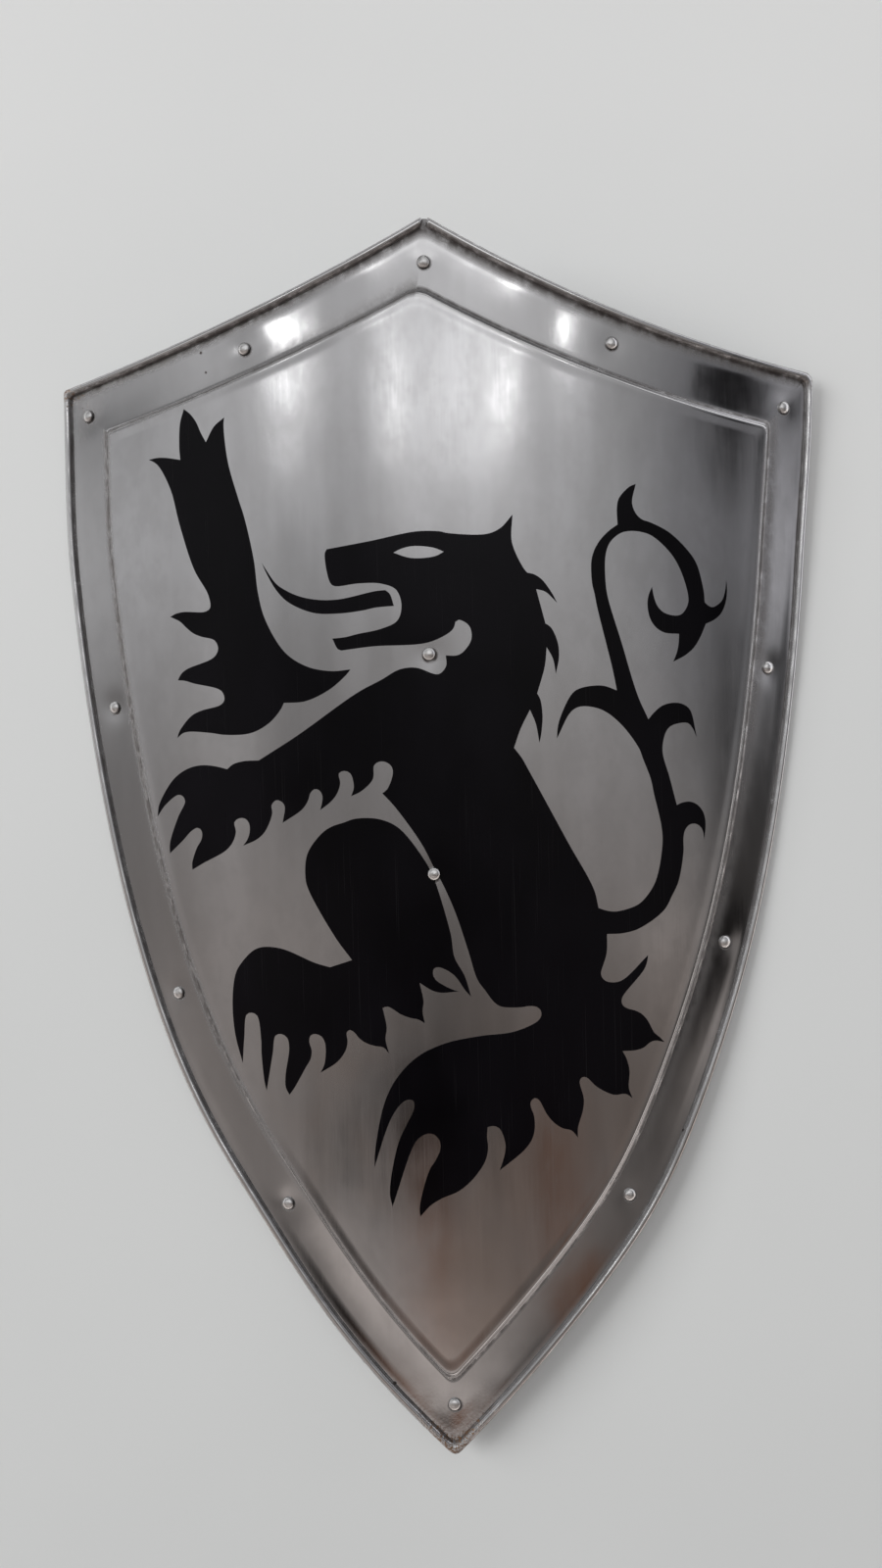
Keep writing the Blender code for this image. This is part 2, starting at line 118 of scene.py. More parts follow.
# The fine surface.
SIDE_STEPS, TOP_STEPS, ROUND_STEPS = 176, 66, 10
COARSE_SIDE, COARSE_TOP, COARSE_ROUND = 22, 8, 4  # the solid's own steps
PANEL_TOP_ROWS = 24
BACK_GRID = 0.008
BANDS = ("right", "top_right", "top_left", "left")
CORNERS_AFTER = ("right", "apex", "left", "tip")

PAINT = 0.00012  # the enamel stands this much above the steel
PAINT_GRID = 0.0045
# Small marks on the border: place on the sheet in metres, and size.
MARKS = (
    (-0.0362, 0.0431, 0.0011),
    (-0.1351, 0.6434, 0.0008),
    (-0.1324, 0.6319, 0.0007),
    (0.1389, 0.1823, 0.0010),
)

# The lion's outline on the unrolled sheet, in mm: across from the centre line, and up from
# the bottom tip. Each row is one smooth stroke from a sharp point; the next row's first
# point ends it.
LION = {
    "raised_foreleg": [
        [(-120.2, 604.1), (-120.7, 600.1), (-118.8, 579.1), (-112.8, 556.6), (-109.7, 546.3),
         (-104.8, 522.1), (-102.8, 502.7), (-99, 487.6), (-87.8, 468.4), (-75.2, 460), (-61.4, 457)],
        [(-50.4, 457.6), (-52.8, 454.7), (-62.8, 446.5), (-76.9, 440.3)],
        [(-89.5, 439.7), (-90.8, 437), (-97.8, 429), (-109.4, 423), (-125.3, 422.3), (-134, 423.6),
         (-147.9, 424.7), (-152.1, 423.9)],
        [(-155.6, 421.3), (-154.3, 424.9), (-146.3, 433.8), (-139.9, 436.7), (-128.5, 439.3), (-126, 441),
         (-125, 443.2), (-126, 446.7), (-128.4, 448.8), (-144.4, 452.8), (-149.4, 454.4)],
        [(-154.1, 454.9), (-152.2, 458.1), (-148.6, 460.9), (-132.6, 466.3), (-129.4, 468.8),
         (-128, 472.2), (-130, 477), (-138.4, 479.6), (-143.4, 481.8), (-147.7, 485.3), (-151.5, 488.9)],
        [(-157.7, 492), (-154.5, 493.5), (-149.3, 494.4), (-136.7, 493.7), (-133.9, 494.4),
         (-132.1, 496.1), (-133.2, 503.6), (-141.5, 518.5), (-149.9, 545.2), (-154.8, 565.3),
         (-161.5, 578.8), (-164.8, 582.1)],
        [(-168.5, 584), (-163, 584.6), (-157.8, 584.2)],
        [(-148.1, 582.2), (-148.5, 589), (-147.5, 603.2)],
        [(-144.8, 611), (-141.1, 607.9), (-137.6, 603.1), (-134.9, 596.8)],
        [(-131.8, 590.9), (-126.6, 599.4)],
    ],
    "tongue": [
        [(-100, 519.8), (-92.5, 508.4), (-89, 505.4), (-79.8, 500.5), (-68.3, 497.7), (-55.7, 497.5),
         (-35.1, 501.4)],
        [(-29.5, 501.8), (-27, 499.7)],
        [(-24.8, 492.8), (-35.4, 492.1), (-42.2, 490.8), (-55.9, 489.5), (-70.8, 490.4), (-85.2, 497),
         (-92, 504.2), (-97.3, 513.6)],
    ],
    "body": [
        [(-62, 526), (-37.8, 529.6), (-10.7, 534.3), (2.8, 533.8), (5.1, 533.1), (27.8, 531.9),
         (35.9, 535.1)],
        [(43, 542.6), (42.4, 527), (48.8, 512.2)],
        [(50.8, 509.8), (54.1, 509.1), (58.8, 506.1), (64.7, 498)],
        [(67.4, 492.8), (60.7, 499.1)],
        [(55.6, 500.5)],
        [(60.5, 481), (63.5, 478.9), (67.2, 470.7), (67.9, 462.2)],
        [(65.9, 452.4), (64.4, 461)],
        [(60.9, 467.7), (59.6, 456.8)],
        [(54.9, 441.4), (56.6, 438.1), (57.7, 428.7), (56.6, 417.6)],
        [(55.6, 413.4), (53.7, 424.5)],
        [(50.6, 432.3), (45.1, 421.8)],
        [(41, 410.8), (45.2, 405.1), (49.7, 396.7), (70.8, 356), (85.4, 328.3)],
        [(87.9, 317.4), (92.9, 315.6), (98.7, 314.9), (110.5, 317.7), (115.5, 321.2), (122.7, 331.3),
         (127.3, 351.9), (127.1, 362.3), (122.7, 382.3), (120.9, 390.9), (116.2, 403.2), (114.3, 408.4),
         (103.5, 422.9), (92.4, 431.3), (81.3, 433.6), (76.4, 432.3), (72.9, 429)],
        [(65.8, 415.6), (66.2, 421), (68, 427.7), (75.2, 441.1), (80.1, 444), (92.7, 445.2)],
        [(101.5, 442.3), (99.2, 454.3), (90.8, 489.7), (89.3, 497.8), (88, 503.9), (87.9, 516.7),
         (90.1, 523.4), (93.7, 528.8), (98.7, 533.6)],
        [(103.7, 537), (103.5, 546.4), (104.7, 551.8), (111.3, 558.7)],
        [(115, 560.2), (112.6, 549.2), (115.2, 542.8), (118.8, 539.9), (123.1, 538.6), (135.4, 532.7),
         (147.9, 521.2), (152.3, 514.4), (156.3, 499.3)],
        [(156.8, 492.9), (158.8, 491.1), (161.9, 490), (168.2, 493.9), (170.4, 499.5)],
        [(171.3, 505.8), (171.6, 499.5), (170.5, 492.6), (167.3, 486.3), (162.5, 482.5)],
        [(157.4, 480.4), (153.1, 471.7), (149.1, 466.2), (143.8, 462.1)],
        [(136.2, 458.4), (138.5, 463.5), (139.8, 469)],
        [(140.2, 474.5), (131.3, 475.2), (126.3, 477.9), (122.7, 482.7), (121, 489.6), (121.4, 495.7)],
        [(123.8, 501.6), (125.1, 495), (127.2, 490.2), (131.6, 486.4), (141.2, 485.5), (146.3, 492.4),
         (144.6, 504), (137.4, 519), (125.1, 530.4), (118.6, 532.8), (111.5, 533.4), (105.8, 532.3),
         (100.7, 528.8), (97.8, 524.8), (96, 518), (96, 503.2), (97.2, 495), (104.5, 470.6),
         (113.9, 439.1)],
        [(120.1, 425.3), (123.8, 429.3), (129, 433.1), (135.7, 434.6), (141.7, 433.7), (146.2, 430.3)],
        [(150.1, 414.6), (147.5, 419.9), (144.5, 422.7), (134.7, 421.5), (131, 418.2), (128.4, 407.2),
         (132.5, 391.4)],
        [(136.7, 375), (139.8, 376.3), (145, 376.8), (149.1, 375.2), (152.2, 372.2), (154.2, 367.9),
         (154.7, 362.1)],
        [(153.8, 354.7), (153, 359.3), (151, 362.3), (147.9, 363.8), (144.2, 363.2), (141.6, 360.3),
         (140.5, 356.1), (140.3, 347.5), (136.9, 330.6), (132.6, 322.2), (127.4, 314), (112.2, 304.4),
         (102.3, 302.1)],
        [(92.6, 302.1), (92.1, 291), (88.5, 279), (89.9, 276.1), (92.7, 274.3), (100.5, 274.5)],
        [(117.1, 288.4), (116.5, 284.9), (114.5, 280.2), (101.3, 265.4), (100.5, 262.6), (101.2, 260.2),
         (104.1, 258.1), (108.5, 256.7), (112, 254.8), (115.9, 250.7), (120.2, 242.7), (123.2, 240.1)],
        [(126.3, 236.8), (120.6, 238.1), (117.6, 237.4), (113.5, 234.6), (108.6, 233.4)],
        [(100.5, 233.5), (103, 228.5), (104.5, 221.5), (103.9, 211.6)],
        [(106.1, 205.4), (101.9, 208.3), (94.9, 208.3), (84.9, 213.6), (78.7, 219.6), (76.2, 219.8),
         (74.7, 217.7), (76.9, 207.4), (76.4, 201.2), (73.1, 190.3)],
        [(73, 184.9), (69.3, 189.3), (64.4, 190.8), (59.5, 194.2), (55.3, 199.4), (50.6, 208.3),
         (48.2, 209.3), (46, 207.3), (46, 204.2), (47.7, 199.2), (48, 191.8), (46.4, 185.7), (42, 179.7)],
        [(27.4, 168.3), (30.5, 177.8), (30.9, 184), (27.7, 192.7), (24.1, 194.3)],
        [(21, 193.6), (20.5, 188.1), (21, 181.9), (19.4, 174.5), (14.9, 167.3), (8.7, 160.7), (2.6, 156.5),
         (-4.8, 153.6), (-12.1, 149.4)],
        [(-18.6, 142.7), (-18.8, 148.3), (-12.9, 169.2), (-9.1, 175.3), (-6.3, 181.4), (-6.4, 186.4),
         (-9.3, 190.1), (-12.9, 190.9), (-17.2, 189), (-21, 184.8)],
        [(-34.4, 148.4), (-35.7, 157), (-30.1, 185.4), (-20.4, 206.3), (-20.9, 210), (-23.7, 210.7),
         (-27, 209.1), (-31.4, 204), (-35.9, 195.3)],
        [(-44.1, 171.6), (-43.6, 180.5), (-37.4, 208.9), (-29.7, 223.6), (-17.3, 235.8), (-1.4, 243),
         (18, 246.5), (37.4, 248.3), (51, 253.8), (53.2, 256.8), (52.9, 259.9), (50.5, 262.1),
         (46.3, 262.7), (41.4, 262.2), (30.5, 263), (26.9, 265.2), (21.1, 273.1), (17.2, 279),
         (12.5, 295.2), (6.2, 316), (0.3, 331), (-6.7, 345.5), (-12.6, 357.6), (-27, 378.7)],
        [(-34.1, 386.8), (-31.3, 389), (-27.8, 398.1), (-28.6, 402.1), (-31.4, 404.4), (-35.4, 404.8),
         (-38.3, 402.9), (-39.3, 394.9), (-46.1, 388.2)],
        [(-51.9, 385.5), (-50.2, 390.6), (-52.1, 398.6), (-55.5, 400), (-58.6, 398.7), (-58, 393),
         (-59.9, 387.3), (-63.4, 382.8)],
        [(-69.9, 377.9), (-68.7, 382.4), (-68.5, 386.4), (-70.2, 389.3), (-73.1, 389.9), (-75.5, 387.6),
         (-76.8, 383.6), (-80.4, 378.5)],
        [(-92.1, 370.9), (-90.6, 380.4), (-92.4, 383.1), (-95.6, 384), (-98.5, 381.1), (-98.2, 376.5),
         (-102.7, 366.2), (-107.7, 361.6)],
        [(-116.3, 357.9), (-113.5, 361.6), (-112, 366.2), (-112.3, 370.9), (-114.6, 373.6),
         (-118.3, 373.8), (-121.4, 371.5), (-120.6, 366.3), (-122.4, 360.5), (-126.9, 355.3),
         (-141.6, 347.7)],
        [(-148.5, 343.9), (-148.6, 347.7), (-145.1, 357.1), (-142.4, 361.2), (-141.6, 365.3),
         (-142.8, 367.8), (-144.7, 368.5), (-148.6, 366.5), (-154, 361.2)],
        [(-162.8, 353.5), (-162.6, 359.4), (-156.8, 374.7), (-151.9, 384.1), (-153.3, 387),
         (-156.3, 387.9), (-165.1, 381.8)],
        [(-170.2, 375.4), (-169.1, 381.9), (-160.6, 395.3), (-154.6, 400.5), (-147.3, 403.9),
         (-139.7, 405), (-132.1, 404.2)],
        [(-124.7, 402.4), (-121, 405.2), (-114.8, 406.8)],
        [(-105.3, 407.1), (-82.1, 420.8), (-46.8, 444.3), (-32.9, 451.3), (-22.6, 456.8), (-13.3, 457.6),
         (-0.7, 453.6), (3.7, 458)],
        [(3.7, 464.1), (9.6, 463.9), (13, 465.4), (18.3, 472.9), (17.2, 480.5), (11.4, 484)],
        [(9.5, 482.8), (8.7, 479.9), (6.6, 477.4), (-6.2, 471.6), (-37.1, 470.3)],
        [(-55.3, 468.5), (-57.2, 469.3)],
        [(-60.2, 475.4), (-52.8, 476), (-46, 477.5), (-32.3, 480.1), (-23.1, 484.4), (-20.5, 492.8),
         (-23.3, 501.8), (-31.6, 505.5), (-44, 506.1), (-58.3, 505.1), (-60.6, 507.1), (-63.2, 523.6)],
    ],
    "near_hind_leg": [
        [(13.4, 269.3), (10.3, 272.8), (3.7, 282.2), (-4.7, 286.7), (-7.3, 285.9), (-8, 283.1),
         (-6.6, 279.6), (2.4, 273.9)],
        [(6.5, 272.6), (-3.4, 272), (-8.4, 273.3)],
        [(-15.7, 278), (-13.7, 267.1), (-14.4, 261.3)],
        [(-13.2, 254.6), (-16.8, 256.8), (-21.3, 257.8), (-26.4, 259.8), (-34.2, 264.5)],
        [(-37.1, 263.7), (-35.1, 252.4), (-35.9, 245.5)],
        [(-34.1, 237.4), (-37.1, 240.9), (-41.7, 241.8), (-46.3, 243.2), (-50.8, 246.1), (-53.6, 249.6),
         (-56.2, 251.1), (-58.2, 249.6), (-57.8, 244.4), (-59.1, 239.1), (-63.9, 232.7)],
        [(-74, 226.2), (-71.5, 231.5), (-70.8, 243.1), (-72.8, 247.2), (-76.3, 248.7), (-79.3, 247.7),
         (-80.2, 244.2), (-78.9, 239), (-79.6, 234.3), (-82.7, 229), (-89.6, 217.2)],
        [(-92.7, 213), (-94.8, 217.1), (-94.8, 224.1), (-92.1, 240.5), (-93.2, 246.3), (-96.5, 248.4),
         (-100.1, 247.4), (-102.2, 236.8)],
        [(-106.5, 215), (-107.6, 220.2), (-108.9, 236.6), (-108.9, 244.8), (-110.9, 258.8),
         (-114.2, 260.5), (-117.4, 259.2), (-119.3, 245.7)],
        [(-120.7, 230.9), (-124.8, 247.9), (-125.8, 266.7), (-123.7, 282), (-120.8, 287.9), (-110, 298),
         (-96.2, 298.4), (-75.1, 289.8)],
        [(-66.8, 287.4)],
        [(-53.9, 291.5), (-63.1, 304.5), (-78, 332.2), (-79.6, 339.2), (-78, 353), (-69.5, 364.4),
         (-63.6, 368.3), (-56.6, 370.5), (-49.7, 372.6), (-36, 372), (-24.8, 366.4), (-9.3, 345),
         (-7.4, 340.4), (-5.4, 335.7), (2.6, 305.8), (4.5, 292), (9.9, 281.5)],
    ],
    "eye": [
        [(-24.4, 522.7), (-19.9, 524.8), (-13.1, 526.1), (-1.9, 524.9)],
        [(4, 522.5), (-0.9, 520.1), (-14.4, 519.4)],
    ],
}


# ------------------------------------------------------------ plane geometry
def smooth(x):
    x = np.clip(x, 0.0, 1.0)
    return x * x * (3 - 2 * x)


def lengths(points):
    return np.concatenate([[0], np.cumsum(np.hypot(*np.diff(points, axis=0).T))])


def side_curve(steps=400):
    """One side from its upper corner to the tip, turning by the named curvatures."""
    curvatures = (CORNER_CURVATURE, FLANK_CURVATURE, LOWER_CURVATURE, TIP_CURVATURE)

    def run(length, half_width):
        at = np.linspace(0, length, steps)
        bend = np.interp(at / length, np.linspace(0, 1, len(curvatures)), curvatures)
        step = at[1] - at[0]
        angle = SIDE_LEAN + np.concatenate([[0], np.cumsum((bend[1:] + bend[:-1]) / 2 * step)])
        across, down = np.sin(angle), np.cos(angle)
        s = half_width - np.concatenate([[0], np.cumsum((across[1:] + across[:-1]) / 2 * step)])
        t = SHOULDER_HEIGHT - np.concatenate([[0], np.cumsum((down[1:] + down[:-1]) / 2 * step)])
        return np.stack([s, t], axis=1)

    length = SHOULDER_HEIGHT
    for _ in range(30):
        curve = run(length, SHOULDER_HALF_WIDTH)
        length += curve[-1, 1] / math.cos(0.8)
    share = np.linspace(0, 1, steps)
    curve[:, 0] -= curve[-1, 0] * share
    curve[:, 1] -= curve[-1, 1] * share
    return curve


def swell(t):
    low = LOW_SWELL * np.exp(-(((t - LOW_SWELL_AT) / LOW_SWELL_REACH) ** 2))
    high = SHOULDER_SWELL * smooth((t - SHOULDER_SWELL_FROM) / (SHOULDER_HEIGHT - SHOULDER_SWELL_FROM))
    return low * smooth(t / 0.05) + high


def sharp_outline():
    """The four bands of the outline, anticlockwise from the tip, seen from the front."""
    side = side_curve()
    right, left = side[::-1].copy(), side.copy()
    right[:, 0] += swell(right[:, 1]) + TIP_OFFSET * (1 - smooth(right[:, 1] / 0.15))
    left[:, 0] = -left[:, 0] + swell(left[:, 1]) + TIP_OFFSET * (1 - smooth(left[:, 1] / 0.15))
    apex = np.array([APEX_OFFSET, HEIGHT])

    def hollow(start, end, sag):
        share = np.linspace(0, 1, 120)[:, None]
        chord = end - start
        normal = np.array([-chord[1], chord[0]]) / np.hypot(*chord)
        return start + chord * share + normal * sag * 4 * share * (1 - share)

    return [
        right,
        hollow(right[-1], apex, TOP_SAG["right"]),
        hollow(apex, left[0], TOP_SAG["left"]),
        left,
    ]


def offset_inwards(points, distance):
    along = np.gradient(points, axis=0)
    along /= np.hypot(*along.T)[:, None]
    moved = points + np.stack([-along[:, 1], along[:, 0]], axis=1) * distance
    first, last = moved[0] - moved[1], moved[-1] - moved[-2]
    reach = 0.08
    return np.concatenate(
        [
            [moved[0] + first / np.hypot(*first) * reach],
            moved,
            [moved[-1] + last / np.hypot(*last) * reach],
        ]
    )


def crossing(a, b):
    """Where polyline a crosses b, as a position along each."""
    for i in range(len(a) - 2, -1, -1):
        p, r = a[i], a[i + 1] - a[i]
        q, w = b[:-1], np.diff(b, axis=0)
        cross = r[0] * w[:, 1] - r[1] * w[:, 0]
        cross = np.where(abs(cross) < 1e-15, 1e-15, cross)
        x = ((q - p)[:, 0] * w[:, 1] - (q - p)[:, 1] * w[:, 0]) / cross
        y = ((q - p)[:, 0] * r[1] - (q - p)[:, 1] * r[0]) / cross
        hit = np.nonzero((x >= 0) & (x <= 1) & (y >= 0) & (y <= 1))[0]
        if len(hit):
            return i + x[hit[0]], hit[0] + y[hit[0]]
    raise ValueError("the bands do not meet")


def cut(points, start, end):
    def at(position):
        i = min(int(position), len(points) - 2)
        return points[i] + (points[i + 1] - points[i]) * (position - i)

    inner = points[int(math.floor(start)) + 1 : int(math.ceil(end))]
    return np.concatenate([[at(start)], inner, [at(end)]])


def sharp_step_line(outline):
    moved = [offset_inwards(points, BORDER[name]) for name, points in zip(BANDS, outline)]
    meets = [crossing(moved[i], moved[(i + 1) % 4]) for i in range(4)]
    return [cut(moved[i], meets[(i - 1) % 4][1], meets[i][0]) for i in range(4)]


def rounded_loop(bands, radii):
    """One closed loop: every band resampled, with its corners rounded."""
    counts = (SIDE_STEPS, TOP_STEPS, TOP_STEPS, SIDE_STEPS)
    trimmed = []
    for i, points in enumerate(bands):
        along = lengths(points)
        start = radii[CORNERS_AFTER[(i - 1) % 4]]
        end = along[-1] - radii[CORNERS_AFTER[i]]
        at = np.linspace(start, end, counts[i] + 1)
        trimmed.append(np.stack([np.interp(at, along, points[:, k]) for k in (0, 1)], axis=1))
    loop = []
    for i in range(4):
        corner = bands[i][-1]
        before, after = trimmed[i][-1], trimmed[(i + 1) % 4][0]
        loop.extend(trimmed[i])
        for k in range(1, ROUND_STEPS):
            x = k / ROUND_STEPS
            loop.append(before * (1 - x) ** 2 + corner * 2 * x * (1 - x) + after * x * x)
    return np.roll(np.array(loop), ROUND_STEPS // 2, axis=0)


def loop_corners(side=SIDE_STEPS, top=TOP_STEPS, bend=ROUND_STEPS):
    """Indices in the loop of the middle of each corner: tip, right, apex, left, and the total."""
    side, top = side + bend, top + bend
    return 0, side, side + top, side + 2 * top, 2 * side + 2 * top


def along_loop(values):
    """A value per band, blended round the corners, for every point of the loop."""
    corners = loop_corners(COARSE_SIDE, COARSE_TOP, COARSE_ROUND)
    coarse = np.zeros(corners[4] + 1)
    for i, name in enumerate(BANDS):
        start, end = corners[i], corners[i + 1]
        for k in range(start, end):
            near_start, near_end = smooth((k - start) / 5), smooth((end - k) / 5)
            own, before, after = values[name], values[BANDS[i - 1]], values[BANDS[(i + 1) % 4]]
            coarse[k] = own + (before - own) * (1 - near_start) / 2 + (after - own) * (1 - near_end) / 2
    coarse[-1] = coarse[0]
    fine = loop_corners()
    fine_knots, coarse_knots = [], []
    for i in range(4):
        for knots, ends, bend in ((fine_knots, fine, ROUND_STEPS), (coarse_knots, corners, COARSE_ROUND)):
            knots += [ends[i], ends[i] + bend / 2, ends[i + 1] - bend / 2]
    fine_knots.append(fine[4])
    coarse_knots.append(corners[4])
    at = np.interp(np.arange(fine[4]), fine_knots, coarse_knots)
    return np.interp(at, np.arange(corners[4] + 1), coarse)


def bent(s, t, h):
    angle = np.asarray(s) / BEND_RADIUS
    return np.stack(
        [
            (BEND_RADIUS + h) * np.sin(angle),
            np.asarray(t) + 0 * angle,
            (BEND_RADIUS + h) * np.cos(angle) - BEND_RADIUS,
        ],
        axis=-1,
    )


def rest_tilt():
    """How far the apex end rises when the shield rests on its two long edges."""
    side = side_curve()[::-1]
    t = np.linspace(0.02, SHOULDER_HEIGHT, 800)
    half = np.interp(t, side[:, 1], side[:, 0])
    edge = bent(half, t, -SHEET)[:, 2]
    x, y = np.concatenate(sharp_outline()).T
    x2, y2 = np.roll(x, -1), np.roll(y, -1)
    turn = x * y2 - x2 * y
    middle_t = float(((y + y2) * turn).sum() / (3 * turn.sum()))
    middle_z = float(bent(np.interp(middle_t, t, half) * 0.577, middle_t, 0.0)[2])
    slope = np.gradient(edge, t)
    at = middle_t
    for _ in range(60):
        angle = math.atan(-float(np.interp(at, t, slope)))
        edge_z = float(np.interp(at, t, edge))
        at = middle_t + (edge_z - middle_z) * math.tan(angle)
    return angle


REST = Matrix.Translation(REST_PLACE) @ Matrix.Rotation(rest_tilt(), 4, "X")


def laid(points):
    """Points from before the shield is laid down, as it lies."""
    turn = np.array(REST)
    return np.asarray(points) @ turn[:3, :3].T + turn[:3, 3]


def sheet_frame(s, t, h):
    """A frame on the sheet as it lies: X across it, Y up it, Z out of its front."""
    x, y, z = bent(s, t, h)
    return REST @ Matrix.Translation((x, y, z)) @ Matrix.Rotation(float(s) / BEND_RADIUS, 4, "Y")


# ------------------------------------------------------------------- meshes
def new_object(name, mesh, *looks):
    obj = bpy.data.objects.new(name, mesh)
    bpy.context.scene.collection.objects.link(obj)
    for look in looks:
        mesh.materials.append(look)
    return obj


def mesh_from(name, points, faces):
    mesh = bpy.data.meshes.new(name)
    mesh.from_pydata([tuple(p) for p in points], [], faces)
    mesh.validate()
    mesh.shade_smooth()
    return mesh


def face_outwards(mesh):
    work = bmesh.new()
    work.from_mesh(mesh)
    bmesh.ops.recalc_face_normals(work, faces=work.faces)
    work.to_mesh(mesh)
    work.free()


def add_values(mesh, name, values):
    layer = mesh.attributes.new(name, "FLOAT", "POINT")
    layer.data.foreach_set("value", np.asarray(values, np.float32))


def wave(s, t, size, seed):
    """A smooth, repeatable unevenness from -1 to 1, of the given size in metres."""
    return noise.noise(Vector((s / size, t / size, seed)))


def hammered(s, t):
    """How far the hand-beaten sheet stands off its true shape, never above it."""
    broad = wave(s, t, 0.120, 3.1) * 0.00034 + wave(s, t * 0.45, 0.060, 8.7) * 0.00028
    small = wave(s, t, 0.026, 5.3) * 0.00005 + wave(s, t * 0.22, 0.021, 4.9) * 0.000055
    tip = math.exp(-((t / 0.035) ** 2)) * wave(s, t, 0.010, 1.9) * 0.00030
    dent = 0.0
    for rs, rt in BORDER_RIVETS.values():
        away = (s - rs) ** 2 + (t - rt) ** 2
        if away < 0.0009:
            dent += math.exp(-away / 0.0075**2)
    for rs, rt in GRIP_RIVETS.values():
        away = (s - rs) ** 2 + (t - rt) ** 2
        if away < 0.0016:
            dent += math.exp(-away / 0.0090**2)
    return broad + small + tip - 0.00040 * dent - 0.00018


# -------------------------------------------------------------------- plate
def front_profile(border, run):
    """The front of the sheet, from the edge's crease to inside the step, as (u, h)."""
    line = [(0.0046, -0.00002), (0.0049, 0.00006), (0.0056, 0.00008), (BEAD_FILLET, 0.0)]
    foot = border - run - STEP_FOOT
    for x in np.linspace(0, 1, 11)[1:-1]:
        line.append((BEAD_FILLET + (foot - BEAD_FILLET) * x, -BORDER_DISH * math.sin(math.pi * x)))
    line.append((foot, 0.0))
    top = PANEL_RISE + STEP_RIDGE
    start = border - run - STEP_FOOT * 0.35
    for x in np.linspace(0, 1, 13)[1:-1]:
        line.append((start + (border - start) * x, top * float(smooth(x))))
    line.append((border, top))
    for x in np.linspace(0, 1, 6)[1:]:
        line.append((border + RIDGE_FALL * x, top - STEP_RIDGE * float(smooth(x))))
    return line


def back_of(profile):
    points = np.array(profile)
    along = np.diff(points, axis=0)
    along /= np.hypot(*along.T)[:, None]
    normals = np.stack([-along[:, 1], along[:, 0]], axis=1)
    normals = np.concatenate([normals[:1], (normals[:-1] + normals[1:]) / 2, normals[-1:]])
    normals[0] = normals[-1] = (0, 1)
    normals /= (normals**2).sum(axis=1)[:, None]
    return points - normals * SHEET


BEAD_ANGLES = (270, 250, 230, 210, 190, 170, 150, 130, 112, 94, 76, 58, 40, 22, 4, -14, -27)
# The crease on the back where the rolled edge's lip meets the sheet.
LIP = [(0.0062, -SHEET), (0.0053, -SHEET), (0.0049, -SHEET + 0.00045), (0.0045, -SHEET + 0.00012)]


def bead_profile(radius, opened):
    """The rolled edge, from under its middle, out, over the top and in to the crease.

    Where it is opened the roll is missing, and the plain edge of the sheet shows.
    """
    line = []
    for a in BEAD_ANGLES:
        c, s = math.cos(math.radians(a)), math.sin(math.radians(a))
        rolled = (radius * (1 + c), radius - SHEET + radius * s)
        if a >= 190:
            plain = (max(radius * (a - 190) / 80, 0.0004), -SHEET)
        elif a >= 94:
            plain = (0.0004, -SHEET * (a - 94) / 96)
        else:
            plain = (0.0004 + 0.0038 * (94 - a) / 121, -0.0001)
        line.append(tuple(r + (p - r) * opened for r, p in zip(rolled, plain)))
    return line


